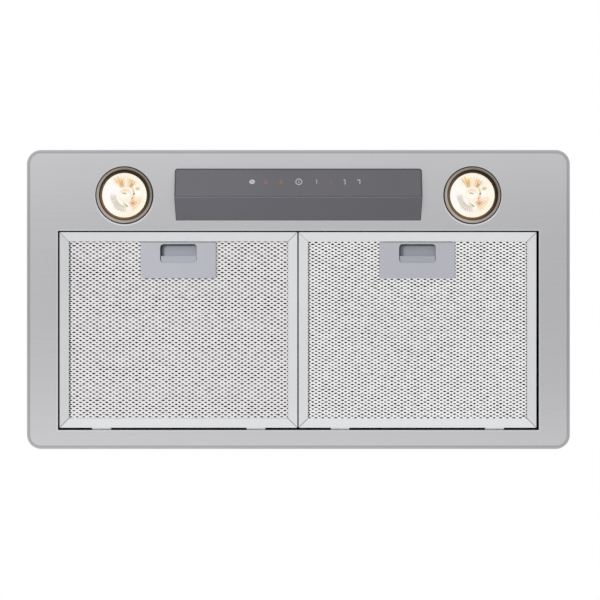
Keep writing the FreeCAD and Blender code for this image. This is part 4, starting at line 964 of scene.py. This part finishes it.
FINISHES: dict[str, Finish] = {
    finish.name: finish
    for finish in (
        PlateMetal("stainless", "c1c0c2", Grain.ALONG_X, contrast=0.028, anisotropy=0.5),
        Galvanised(),
        BrushedMetal("screw_steel", "b9bbbd", roughness=0.3),
        BrushedMetal("spring_steel", "a4a6a9", roughness=0.25),
        BrushedMetal("laminations", "6a6c70", Grain.ALONG_Y, roughness=0.45, anisotropy=0.5),
        BrushedMetal("lamp_metal", "b5aea6", roughness=0.25),
        # The bezel's outer edge is a real rounded edge, coloured near black as painted shade of the gap round
        # it.
        BrushedMetal("bezel_edge", "3b383a", roughness=0.4),
        BrushedMetal("aluminium_frame", "e2e3e5", roughness=0.4, contrast=0.03, anisotropy=0.5),
        BrushedMetal("aluminium_mesh", "f8f6f7", roughness=0.38, contrast=0.04, anisotropy=0.5),
        # The right filter's mesh is a brighter copy of this aluminium, painted light; the inner and back
        # layers are darker copies, painted shade.
        BrushedMetal("brighter_lit_mesh", "ffffff", roughness=0.34, contrast=0.03, anisotropy=0.5),
        BrushedMetal("shaded_deep_mesh", "5f5c5d", roughness=0.5, contrast=0.15),
        BrushedMetal("back_mesh", "b9b8b9", roughness=0.42, contrast=0.05, anisotropy=0.5),
        # The last four numbers of the right bars are its painted shades of light, one for each bar.
        BarMetal("left_bars", "e9eaec", Grain.NONE, 0.4, 0.03),
        BarMetal("right_bars", "e9eaec", Grain.NONE, 0.4, 0.03, 0.0, "right", (1.02, 0.98, 1.04, 1.11)),
        PaintedMetal("motor_paint", "3a3d40"),
        PaintedMetal("reflector_back", "8d8f92", 0.3),
        MouldedPlastic("duct_plastic", "2c2d2f"),
        MouldedPlastic("capacitor_can", "e4e3dd", 0.35),
        MouldedPlastic("white_plastic", "dcdcd8"),
        MouldedPlastic("wheel_plastic", "3b3d40"),
        MouldedPlastic("touch_panel", "5f5e63", 0.32, 0.03),
        ControlPlastic("grey_plastic", "65646a", 0.5),
        # The two cases are one plastic; the right case's lighter tone is painted light.
        CasePlastic("left_case", "adaeb5", 0.42),
        CasePlastic("right_case", "b1b2ba", 0.42, side="right"),
        SliderPlastic("left_slider", "a6a9b2", 0.42),
        SliderPlastic("right_slider", "a6a9b2", 0.42, side="right"),
        Speckled("rubber", "1f1f20", "2a2a2b", 0.8),
        Speckled("circuit_board", "1f5a38", "2f7a4c", 0.4, 300.0),
        Speckled("holder_ceramic", "e9e6dd", "d8d3c6", 0.55),
        ClearGlass(),
        Glow("mark_bright", "aeadb1", 0.22),
        Glow("mark_slit", "7f7e83", 0.06),
        Glow("mark_grey", "9a999e", 0.2),
        Glow("mark_dim", "929196", 0.15),
        Glow("mark_red", "845450", 0.22),
        Glow("mark_orange", "865844", 0.22),
        Glow("mark_faint", "7d5c5f", 0.1),
    )
}

# Nodes whose finish isn't the one of their material slot: each side has its own painted shading.
NODE_FINISHES = {
    kind + side: side + finish
    for side in SIDES
    for kind, finish in (("filter_frame_", "_bars"), ("latch_case_", "_case"), ("latch_slider_", "_slider"))
}


class Paintbox:
    """Makes each finish once and hands it out."""

    def __init__(self) -> None:
        """Starts with nothing mixed."""
        self.mixed: dict[str, bpy.types.Material] = {}

    def take(self, finish: Finish | str) -> bpy.types.Material:
        """Hands out a finish's material.

        Args:
            finish: the finish, or its name.

        Returns:
            The material, made now if it is the first time.
        """
        chosen = FINISHES[finish] if isinstance(finish, str) else finish
        if chosen.name not in self.mixed:
            self.mixed[chosen.name] = chosen.make()
        return self.mixed[chosen.name]


PAINTS = Paintbox()


# ---------------------------------------------------------------- meshes


@dataclass
class Shape:
    """Points and faces of a mesh in the making."""

    points: list[Point] = field(default_factory=list)
    faces: list[tuple[int, ...]] = field(default_factory=list)

    def add(self, points: Iterable[Point], faces: Iterable[Sequence[int]]) -> None:
        """Adds points and faces.

        Args:
            points: the points, in metres.
            faces: the faces, which count from the first of these points.
        """
        first = len(self.points)
        self.points.extend(points)
        self.faces.extend(tuple(first + index for index in face) for face in faces)

    def place(self, name: str, body: str, finish: Finish | str, smooth: bool = True) -> bpy.types.Object:
        """Makes the object, dresses it and lets it ride on its body.

        Args:
            name: the piece's name.
            body: the moving body that carries it.
            finish: its finish, or the finish's name.
            smooth: whether its faces shade as one curved surface.

        Returns:
            The new object.
        """
        mesh = bpy.data.meshes.new(name)
        mesh.from_pydata(self.points, [], self.faces)
        mesh.validate()
        mesh.polygons.foreach_set("use_smooth", [smooth] * len(mesh.polygons))
        piece = bpy.data.objects.new(name, mesh)
        bpy.context.scene.collection.objects.link(piece)
        mesh.materials.append(PAINTS.take(finish))
        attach(piece, body)
        log.info("%s on %s: %d faces", name, body, len(mesh.polygons))
        return piece


Ripple = Callable[[float, int], float]


def lathe(
    profile: Sequence[Pair],
    level: float,
    centre: Pair,
    steps: int,
    closed: bool = False,
    ripple: Ripple | None = None,
) -> Shape:
    """Turns an outline about an upright axis.

    Args:
        profile: (radius, height) corners in millimetres; a closed outline runs clockwise seen from +Y.
        level: what the heights start from, in metres.
        centre: x and y of the axis.
        steps: divisions around the axis.
        closed: whether the outline joins up with its start.
        ripple: change of radius, in metres, for an angle and a corner's number.

    Returns:
        The turned shape.
    """
    shape = Shape()
    count = len(profile)
    for step in range(steps):
        angle = 2 * math.pi * step / steps
        here, after = step * count, (step + 1) % steps * count
        for number, (radius, height) in enumerate(profile):
            reach = radius * MM + (ripple(angle, number) if ripple else 0.0)
            x, y = centre[0] + reach * math.cos(angle), centre[1] + reach * math.sin(angle)
            shape.points.append((x, y, level + height * MM))
            nearby = (number + 1) % count
            if closed or nearby:
                shape.faces.append((here + number, after + number, after + nearby, here + nearby))
    return shape


def soften(piece: bpy.types.Object, width: float) -> None:
    """Rounds a piece's sharp edges.

    Args:
        piece: the piece.
        width: width of the rounding in metres.
    """
    bevel = piece.modifiers.new("edges", "BEVEL")
    bevel.width = width
    bevel.segments = 2
    bevel.limit_method = "ANGLE"
    bevel.angle_limit = math.radians(40.0)
    bevel.harden_normals = True


def thicken(piece: bpy.types.Object, width: float) -> None:
    """Gives a flat piece a thickness, half of it to each side.

    Args:
        piece: the piece.
        width: the thickness in metres.
    """
    sheet = piece.modifiers.new("sheet", "SOLIDIFY")
    sheet.thickness = width
    sheet.offset = 0.0


# ---------------------------------------------------------------- grease filters


@dataclass
class ExpandedMesh:
    """Expanded aluminium: staggered flat openings with tilted strands, around the latch case."""

    side: str
    name: str
    pitch: float
    row: float
    hole: Pair
    level: float
    shift: Pair = (0.0, 0.0)
    thick: float = 0.35 * MM
    tilt: float = 0.22 * MM
    jitter: float = 0.10
    seed: int = 5
    weld: float = 1e-6

    def cell(self) -> tuple[np.ndarray, np.ndarray]:
        """Outlines one opening's surround.

        Returns:
            Its outer and its inner points, as (x, y, height) rows.
        """
        half, edge = self.pitch / 2, 0.35 * self.row
        peak = self.row - edge
        rear = [(half, 0.0), (half, edge), (0.0, peak), (-half, edge)]
        outer = rear + [(-half, 0.0), (-half, -edge), (0.0, -peak), (half, -edge)]
        angles = [math.atan2(y * self.pitch / self.row / 2, x) for x, y in outer]
        wide, high = self.hole
        inner = [(wide / 2 * math.cos(angle), high / 2 * math.sin(angle)) for angle in angles]
        leaning = [(x, y, self.tilt * 2 * y / high) for x, y in inner]
        return np.array([(x, y, 0.0) for x, y in outer]), np.array(leaning)

    def centres(self) -> np.ndarray:
        """Places the openings that fit in the frame and clear the latch case.

        Returns:
            Their middles, as (x, y, height) rows.
        """
        low, high = corners("filter_mesh_" + self.side)
        case_low, case_high = corners("latch_case_" + self.side)
        half = self.pitch / 2
        found = []
        for row in range(int((high.y - low.y) / self.row) + 1):
            y = low.y + self.shift[1] + (row + 0.5) * self.row
            for column in range(int((high.x - low.x) / self.pitch) + 1):
                x = low.x + self.shift[0] + (column + 0.5 + 0.5 * (row % 2)) * self.pitch
                fits = low.x + half < x < high.x - half and low.y + self.row < y < high.y - self.row
                in_case = case_low.x + half < x < case_high.x - half and y < case_high.y - self.row
                if fits and not in_case:
                    found.append((x, y, self.level))
        return np.array(found)

    def place(self, finish: str) -> bpy.types.Object:
        """Fills the filter's frame with cells and welds them into one sheet.

        Args:
            finish: the mesh's finish.

        Returns:
            The mesh, riding on its filter.
        """
        outer, inner = self.cell()
        ring = np.concatenate([outer, inner])
        centres = self.centres()
        chance = np.random.default_rng(self.seed)
        sizes = np.ones((len(centres), len(ring), 3))
        sizes[:, len(outer):, :] += self.jitter * chance.standard_normal((len(centres), 1, 3))
        points = (centres[:, None, :] + ring[None, :, :] * sizes).reshape(-1, 3)
        keys, welded = np.unique(np.round(points / self.weld).astype(np.int64), axis=0, return_inverse=True)
        count = len(outer)
        quads = [(k, (k + 1) % count, count + (k + 1) % count, count + k) for k in range(count)]
        starts = np.arange(len(centres))[:, None, None] * len(ring)
        faces = (starts + np.array(quads)[None, :, :]).reshape(-1, 4)
        rows = [tuple(point) for point in (keys * self.weld).tolist()]
        shape = Shape(rows, [tuple(face) for face in welded.reshape(-1)[faces].tolist()])
        piece = shape.place(self.name, "filter_" + self.side, finish)
        thicken(piece, self.thick)
        return piece


@dataclass
class GreaseFilter:
    """One filter's three layers of mesh."""

    side: str
    row: float
    finish: str
    pitch: float = 6.4 * MM
    hole: Pair = (3.1 * MM, 1.5 * MM)
    wider: Pair = (1.15, 1.1)

    def layer(self, name: str, level: float, shift: Pair = (0.0, 0.0)) -> ExpandedMesh:
        """One layer as fine as the outer one, at a height and moved aside, in metres."""
        return ExpandedMesh(self.side, name + self.side, self.pitch, self.row, self.hole, level, shift)

    def build(self) -> None:
        """Makes the layers that stand for the plain ones, the outer one first."""
        low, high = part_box("filter_mesh_" + self.side)
        face = (low[2] + high[2]) / 2
        outer = self.layer("outer_mesh_", face)
        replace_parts(outer.place(self.finish), "filter_mesh_" + self.side)
        inner = self.layer("inner_mesh_", face + 2.0 * MM, (1.1 * MM, 0.7 * MM))
        inner.pitch, inner.row = self.pitch * 1.22, self.row * 1.18
        inner.hole = (self.hole[0] * self.wider[0], self.hole[1] * self.wider[1])
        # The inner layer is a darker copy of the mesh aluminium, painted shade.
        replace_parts(inner.place("shaded_deep_mesh"), "filter_core_" + self.side)
        core_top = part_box("filter_core_" + self.side)[1][2]
        # The back layer is a darker copy of the mesh aluminium, painted shade.
        self.layer("back_mesh_", core_top - 0.6 * MM, (2.3 * MM, 1.2 * MM)).place("back_mesh")


@dataclass
class LatchSpring:
    """The coil that pushes a latch forward; the real one shortens as the latch is pulled back."""

    side: str
    turns: int = 7
    steps: int = 24
    corners: int = 10
    wire: float = 0.6 * MM
    slack: float = 0.08
    travel: float = 4.0 * MM

    def build(self) -> None:
        """Winds the coil with closer end turns."""
        node = "latch_spring_" + self.side
        low, high = corners(node)
        middle, length = (low + high) / 2, high.y - low.y
        radius, run = (high.x - low.x) / 2 - self.wire / 2, length - self.wire
        count = self.turns * self.steps
        shape = Shape()
        for step in range(count + 1):
            angle = 2 * math.pi * step / self.steps
            reached = step / count - self.slack * math.sin(2 * math.pi * step / count)
            outward = Vector((math.cos(angle), 0.0, math.sin(angle)))
            centre = Vector((middle.x, low.y + self.wire / 2 + run * reached, middle.z)) + outward * radius
            for corner in range(self.corners):
                turn = 2 * math.pi * corner / self.corners
                off = outward * math.cos(turn) + Vector((0.0, math.sin(turn), 0.0))
                shape.points.append(tuple(centre + off * self.wire / 2))
        last = count * self.corners
        shape.faces = [tuple(range(self.corners)), tuple(reversed(range(last, last + self.corners)))]
        for first in range(0, last, self.corners):
            second = first + self.corners
            for corner in range(self.corners):
                after = (corner + 1) % self.corners
                shape.faces.append((first + corner, second + corner, second + after, first + after))
        coil = shape.place("coil_" + self.side, "filter_" + self.side, "spring_steel")
        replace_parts(coil, node)
        "latch_%s_slide" % self.side
        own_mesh(coil)


# ---------------------------------------------------------------- control marks


def circle(radius: float, squash: float = 1.0, steps: int = 32) -> list[Pair]:
    """Points round an ellipse that is `squash` times as deep as it is wide."""
    turns = [2 * math.pi * step / steps for step in range(steps)]
    return [(radius * math.cos(turn), radius * squash * math.sin(turn)) for turn in turns]


@dataclass(frozen=True)
class Stroke:
    """One line of a mark, in millimetres from the mark's middle, x to the right and y to the rear."""

    points: Sequence[Pair]
    width: float
    closed: bool = False

    def outline(self) -> list[Pair]:
        """Widens the line, with mitred corners.

        Returns:
            The points of its left edge and then of its right edge.
        """
        count = len(self.points)
        left, right = [], []
        for number, (x, y) in enumerate(self.points):
            before = self.points[number - 1] if self.closed or number else (x, y)
            after = self.points[(number + 1) % count] if self.closed or number < count - 1 else (x, y)
            first = Vector((x - before[0], y - before[1])).normalized() if before != (x, y) else None
            second = Vector((after[0] - x, after[1] - y)).normalized() if after != (x, y) else None
            run = ((first or second) + (second or first)).normalized()
            reach = self.width / 2 * (1.0 / max(0.5, run.dot(first or second)))
            left.append((x - run.y * reach, y + run.x * reach))
            right.append((x + run.y * reach, y - run.x * reach))
        return left + right

    def faces(self) -> list[tuple[int, ...]]:
        """Fills the line.

        Returns:
            The faces between the outline's two edges.
        """
        count = len(self.points)
        spans = range(count if self.closed else count - 1)
        return [(k, (k + 1) % count, count + (k + 1) % count, count + k) for k in spans]


@dataclass(frozen=True)
class Mark:
    """One lit or printed mark: its place along the panel, in millimetres, and its strokes or its patch."""

    name: str
    place: float
    finish: str
    strokes: tuple[Stroke, ...] = ()
    patch: Sequence[Pair] = ()


LAMP_SLIT = Stroke([(-1.5, -1.0), (0.2, 0.0), (1.7, 0.8)], 0.75)
DROP = [(-2.0, 2.1), (-1.3, -0.8), (-0.2, -2.2), (0.9, -0.6), (2.0, 0.9), (1.6, 2.1)]
BLOT = [(-1.7, 0.4), (-0.7, -0.4), (-0.1, -2.1), (0.9, -0.9), (2.1, 0.6), (1.5, 2.0), (-0.6, 1.9)]
POWER = (Stroke(circle(2.85), 1.05, True), Stroke([(0.0, -1.3), (0.0, 1.3)], 0.85))
ONE = Stroke([(-0.6, -1.4), (0.1, -1.9), (0.1, 1.9)], 1.0)
TWO = Stroke([(-1.2, -1.1), (-0.5, -1.9), (0.6, -1.9), (1.1, -1.0), (0.5, 0.0), (-1.2, 1.9), (1.3, 1.9)], 0.8)
THREE = (
    Stroke([(-0.9, -2.1), (0.1, -2.1), (0.7, -1.3), (0.2, -0.2)], 0.95),
    Stroke([(0.2, -0.2), (1.0, 0.9), (0.4, 2.1), (-0.5, 2.2)], 0.95),
)
BOOST = Stroke([(-1.9, -1.7), (0.6, -1.8), (0.75, 0.4), (0.6, 2.2)], 1.1)

MARKS = (
    Mark("lamp_mark", -44.3, "mark_bright", patch=circle(2.75, 0.8)),
    Mark("lamp_slit", -44.3, "mark_slit", (LAMP_SLIT,)),
    Mark("grease_mark", -31.0, "mark_red", patch=DROP),
    Mark("timer_mark", -17.0, "mark_orange", patch=BLOT),
    Mark("power_mark", 0.4, "mark_grey", POWER),
    Mark("speed_one", 17.5, "mark_dim", (ONE,)),
    Mark("speed_two", 31.2, "mark_faint", (TWO,)),
    Mark("speed_three", 44.2, "mark_grey", THREE),
    Mark("boost_mark", 58.2, "mark_grey", (BOOST,)),
)


@dataclass
class TouchPanel:
    """The marks on the control's front facet, which drops from its front edge to the ridge."""

    line: float = -112.8 * MM
    lift: float = 0.05 * MM
    over: float = 1.4
    ridge: float = -97.6 * MM
    slope: float = (22.4 - 16.0) / (125.8 - 97.6)

    def build(self) -> None:
        """Puts each mark on the facet's slope."""
        outward = Vector((0.0, -self.slope, -1.0)).normalized()
        run = Vector((0.0, 1.0, -self.slope)).normalized()
        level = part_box("control_body")[0][2] + (self.ridge - self.line) * self.slope
        for mark in MARKS:
            proud = self.lift * (self.over if mark.name == "lamp_slit" else 1.0)
            centre = Vector((mark.place * MM, self.line, level)) + outward * proud
            parts = [(stroke.outline(), stroke.faces()) for stroke in mark.strokes]
            if mark.patch:
                parts.append((mark.patch, [tuple(range(len(mark.patch)))]))
            shape = Shape()
            for outline, faces in parts:
                flat = [centre + Vector((x, 0.0, 0.0)) * MM + run * y * MM for x, y in outline]
                shape.add([tuple(point) for point in flat], faces)
            thicken(shape.place(mark.name, "root", mark.finish, smooth=False), self.lift)


# ---------------------------------------------------------------- lamps


@dataclass
class Lamp:
    """One lamp: its bezel, its lit reflector with burner and lens, and its back with the pins."""

    side: str
    rib_count: int = 120
    bowl_rings: int = 16
    flutes: int = 40
    cooling_ribs: int = 36
    # metres
    rib_depth: float = 0.12 * MM
    flute_depth: float = 0.25 * MM
    cooling_depth: float = 0.55 * MM
    burner_shift: Pair = (-0.8 * MM, -2.6 * MM)
    pin_gap: float = 5.0 * MM
    # millimetres, for outlines
    edge_width: float = 1.15
    mouth: float = 24.2
    sleeve: Pair = (26.5, 25.5)
    lens_reach: float = 21.9
    bowl_reach: float = 21.7
    bowl_depth: float = 6.5
    burner_reach: float = 6.7
    base: float = 32.0
    top: float = 46.0

    def __post_init__(self) -> None:
        """Reads the lamp's places from the frame."""
        low, high = corners("lamp_ring_" + self.side)
        self.axis = ((low.x + high.x) / 2, (low.y + high.y) / 2)
        self.flange = (high.x - low.x) / 2
        self.ring_levels = (low.z, high.z)
        self.body = "lamp_" + self.side
        low, high = corners(self.body)
        self.rim = (high.x - low.x) / 2
        self.front, self.pin_end = low.z, high.z

    def about(self, shift: Pair = (0.0, 0.0)) -> Point:
        """A point on the lamp's axis, or on one that is moved aside, in metres."""
        return self.axis[0] + shift[0], self.axis[1] + shift[1], 0.0

    def build(self) -> None:
        """Makes the pieces, the bezel first."""
        self.place_bezel()
        self.place_lens()
        self.place_shell()
        self.place_bowl()
        self.place_burner()
        self.place_pins()

    def place_bezel(self) -> None:
        """Ribbed flange with an outer edge ring coloured dark as painted shade, and the sleeve that goes up
        through the plate.
        """
        low, high = self.ring_levels
        plate, top = (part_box("face_plate")[0][2] - low) / MM, (high - low) / MM
        flange = self.flange / MM
        inner = flange - self.edge_width
        mouth, (outside, inside) = self.mouth, self.sleeve
        lip = [(mouth, plate), (mouth, 0.45), (mouth + 0.35, 0.1), (mouth + 0.9, 0.0)]
        profile = lip + [(inner - 0.5, 0.0), (inner, 0.25), (inner, plate)]
        profile += [(outside, plate), (outside, top), (inside, top), (inside, plate)]
        ring = lathe(profile, low, self.axis, self.rib_count * 2, closed=True)
        for step in range(1, self.rib_count * 2, 2):
            for number in (3, 4):
                index = step * len(profile) + number
                x, y, z = ring.points[index]
                ring.points[index] = (x, y, z + self.rib_depth)
        metal = BezelMetal("bezel_metal_" + self.side, "a89f97", Grain.NONE, 0.36, 0.12, centre=self.about())
        bezel = ring.place("bezel_" + self.side, "root", metal, smooth=False)
        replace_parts(bezel, "lamp_ring_" + self.side)
        # The outer edge ring is a real rounded edge, coloured dark as painted shade.
        edge = [(inner, plate), (inner, 0.5), (inner + 0.3, 0.22)]
        edge += [(flange - 0.35, 0.3), (flange, 0.75), (flange, plate)]
        turned = lathe(edge, low, self.axis, 128, closed=True)
        soften(turned.place("bezel_edge_" + self.side, "root", "bezel_edge"), 0.1 * MM)

    def place_lens(self) -> None:
        """Pressed glass disc, slightly domed inside the rim."""
        reach, back = self.lens_reach, 2.4
        dome = [(reach * share, 0.35 * (1 - share ** 4)) for share in (0.3, 0.6, 0.8, 0.93)]
        rim = [(reach, 0.1), (reach, back), (reach * 0.9, back)]
        lens = lathe([(0.0001, 0.35)] + dome + rim + [(0.0001, back)], self.front, self.axis, 96)
        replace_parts(lens.place("lens_" + self.side, self.body, "lamp_glass"), "lamp_" + self.side)

    def place_shell(self) -> None:
        """Outside of the reflector: rim, ribbed back and base."""
        rim, base, top = self.rim / MM - 0.02, self.base, self.top
        mouth = [(21.95, 2.6), (21.95, 0.15), (22.25, 0.0), (rim - 0.4, 0.0), (rim, 0.4), (rim, 4.0)]
        back = [(23.25, 12.0), (21.2, 17.2), (18.0, 22.0), (14.6, 27.0)]
        foot = [(11.5, base), (10.0, base + 0.4), (10.0, top - 0.6), (9.4, top), (0.01, top)]
        ribbed = range(len(mouth), len(mouth) + len(back))

        def ribs(angle: float, number: int) -> float:
            """Cooling flutes on the back of the bowl."""
            depth = self.cooling_depth if number in ribbed else 0.0
            return -depth * abs(math.sin(angle * self.cooling_ribs / 2))

        shell = lathe(mouth + back + foot, self.front, self.axis, 216, ripple=ribs)
        piece = shell.place("shell_" + self.side, self.body, "reflector_back")
        metal = RecessMetal("lamp_rim_" + self.side, "54422e", Grain.NONE, 0.42, 0.15, centre=self.about())
        piece.data.materials.append(PAINTS.take(metal))
        for face in piece.data.polygons:
            if max(piece.data.vertices[index].co.z for index in face.vertices) < self.front + 2.7 * MM:
                face.material_index = 1
        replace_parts(piece, "lamp_" + self.side)

    def place_bowl(self) -> None:
        """Inside of the reflector: a fluted bowl from the lens down to the burner."""
        neck, back = self.burner_reach - 0.6, 2.5
        shares = [number / self.bowl_rings for number in range(self.bowl_rings + 1)]
        profile = [
            (neck + (self.bowl_reach - neck) * share, back + (self.bowl_depth - back) * (1 - share ** 2))
            for share in shares
        ]

        def flute(angle: float, number: int) -> float:
            """Flutes that fade toward the neck."""
            return self.flute_depth * number / self.bowl_rings * abs(math.sin(angle * self.flutes / 2))

        bowl = lathe(profile, self.front, self.axis, self.flutes * 6, ripple=flute)
        bowl.place("bowl_" + self.side, self.body, LitBowl("lit_bowl_" + self.side, self.about()))

    def place_burner(self) -> None:
        """Domed burner in the middle of the bowl, with its flat cap toward the lens."""
        reach = self.burner_reach
        cap = [(0.01, 3.0), (reach * 0.45, 3.2), (reach * 0.5, 3.9), (reach * 0.8, 4.1), (reach * 0.96, 4.6)]
        profile = cap + [(reach, 5.4), (reach, self.bowl_depth + 0.2)]
        glow = BurnerGlow("burner_glow_" + self.side, self.about(self.burner_shift))
        lathe(profile, self.front, self.axis, 64).place("burner_" + self.side, self.body, glow)

    def place_pins(self) -> None:
        """Two headed pins that turn in the holder."""
        foot, end = self.top - 0.3, (self.pin_end - self.front) / MM
        profile = [(0.01, foot), (1.5, foot), (1.5, end - 2.0)]
        profile += [(2.5, end - 1.9), (2.5, end - 0.3), (2.1, end), (0.01, end)]
        for mark, shift in (("left", -self.pin_gap), ("right", self.pin_gap)):
            pin = lathe(profile, self.front, self.about((shift, 0.0))[:2], 32)
            soften(pin.place("pin_%s_%s" % (self.side, mark), self.body, "screw_steel"), 0.1 * MM)


# ---------------------------------------------------------------- stage


@dataclass(frozen=True)
class SoftLight:
    """A soft square light that faces the object: its place and side in metres, its power in watts."""

    name: str
    where: Point
    width: float
    power: float

    def hang(self) -> None:
        """Hangs the light, out of sight of mirrors."""
        light = bpy.data.lights.new(self.name, "AREA")
        light.shape = "SQUARE"
        light.size = self.width
        light.energy = self.power
        holder = bpy.data.objects.new(self.name, light)
        holder.location = self.where
        holder.rotation_euler = (-Vector(self.where)).to_track_quat("-Z", "Y").to_euler()
        holder.visible_glossy = False
        bpy.context.scene.collection.objects.link(holder)


@dataclass
class Stage:
    """Pale floor, soft lights, white surroundings and the camera below the object."""

    distance: float = 1.2
    field_width: float = 0.5814
    centre: Pair = (0.00155, 0.0005)
    floor_level: float = -1.6
    floor_reach: float = 6.0
    surround: float = 0.24
    lights: tuple[SoftLight, ...] = (
        SoftLight("key_light", (-0.85, -0.38, -1.0), 0.36, 14.5),
        SoftLight("fill_light", (0.9, 0.6, -1.1), 1.2, 2.0),
        SoftLight("top_light", (-0.6, -1.0, 1.7), 1.4, 24.0),
        SoftLight("rear_light", (0.9, 1.3, 1.2), 1.2, 13.0),
    )

    def build(self) -> None:
        """Sets the stage."""
        self.set_world()
        self.lay_floor()
        for light in self.lights:
            light.hang()
        self.aim_camera()

    def set_world(self) -> None:
        """White behind the object and in reflections, a plain level of light elsewhere."""
        recipe = Recipe("studio", world=True)
        levels = (self.surround, 1.0)
        plain, white = (recipe.add("Background", Color="ffffff", Strength=level) for level in levels)
        recipe.blend(recipe.rays("Camera", "Glossy", "Transmission"), plain, white)
        bpy.context.scene.world = recipe.material

    def lay_floor(self) -> None:
        """Pale floor far below, as under a cabinet's insert, and white in mirrors."""
        reach = self.floor_reach
        mesh = bpy.data.meshes.new("floor")
        places = [(-reach, -reach), (reach, -reach), (reach, reach), (-reach, reach)]
        mesh.from_pydata([(x, y, self.floor_level) for x, y in places], [], [(0, 1, 2, 3)])
        floor = bpy.data.objects.new("floor", mesh)
        bpy.context.scene.collection.objects.link(floor)
        recipe = Recipe("floor_paint")
        tone = recipe.ramp(recipe.noise(40.0, 3.0), (0.3, (0.86, 0.86, 0.86)), (0.7, (0.9, 0.9, 0.9)))
        shown = recipe.rays("Camera") * 0.42 + 0.06
        paint = recipe.add(
            "BsdfPrincipled", Base_Color=tone, Roughness=0.8, Emission_Color=tone, Emission_Strength=shown
        )
        recipe.blend(recipe.rays("Glossy", "Transmission"), paint, recipe.add("Emission", Strength=1.0))
        mesh.materials.append(recipe.material)

    def aim_camera(self) -> None:
        """Camera straight below, its top edge towards the front of the object."""
        camera = bpy.data.cameras.new("camera")
        camera.sensor_width = 36.0
        camera.lens = camera.sensor_width * self.distance / self.field_width
        camera.clip_end = 20.0
        holder = bpy.data.objects.new("camera", camera)
        holder.location = (*self.centre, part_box("face_plate")[0][2] - self.distance)
        holder.rotation_euler = (math.pi, 0.0, 0.0)
        bpy.context.scene.collection.objects.link(holder)
        bpy.context.scene.camera = holder
        bpy.context.scene.view_settings.view_transform = "Standard"


# ---------------------------------------------------------------- the whole insert


@dataclass
class HoodInsert:
    """The range hood insert, dressed node by node and then piece by piece."""

    rows: Pair = (2.0 * MM, 1.7 * MM)
    # The right filter's mesh is a brighter copy of the left one's, painted light.
    meshes: tuple[str, str] = ("aluminium_mesh", "brighter_lit_mesh")

    def dress_nodes(self) -> None:
        """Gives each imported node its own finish, or else that of its material slot."""
        slots = {part["node"]: part["material_slot"] for part in frame["record"]["subparts"]}
        for name, piece in frame["nodes"].items():
            piece.data.materials.clear()
            piece.data.materials.append(PAINTS.take(NODE_FINISHES.get(name, slots[name])))
        log.info("dressed %d nodes", len(frame["nodes"]))

    def build(self) -> None:
        """Builds every sub-assembly in order."""
        self.dress_nodes()
        for side, row, mesh in zip(SIDES, self.rows, self.meshes):
            GreaseFilter(side, row, mesh).build()
            LatchSpring(side).build()
            Lamp(side).build()
        TouchPanel().build()


def main() -> None:
    """Sets the stage and builds the insert."""
    logging.basicConfig(level=logging.INFO, format="%(name)s: %(message)s")
    Stage().build()
    HoodInsert().build()


if __name__ == "__main__":
    main()
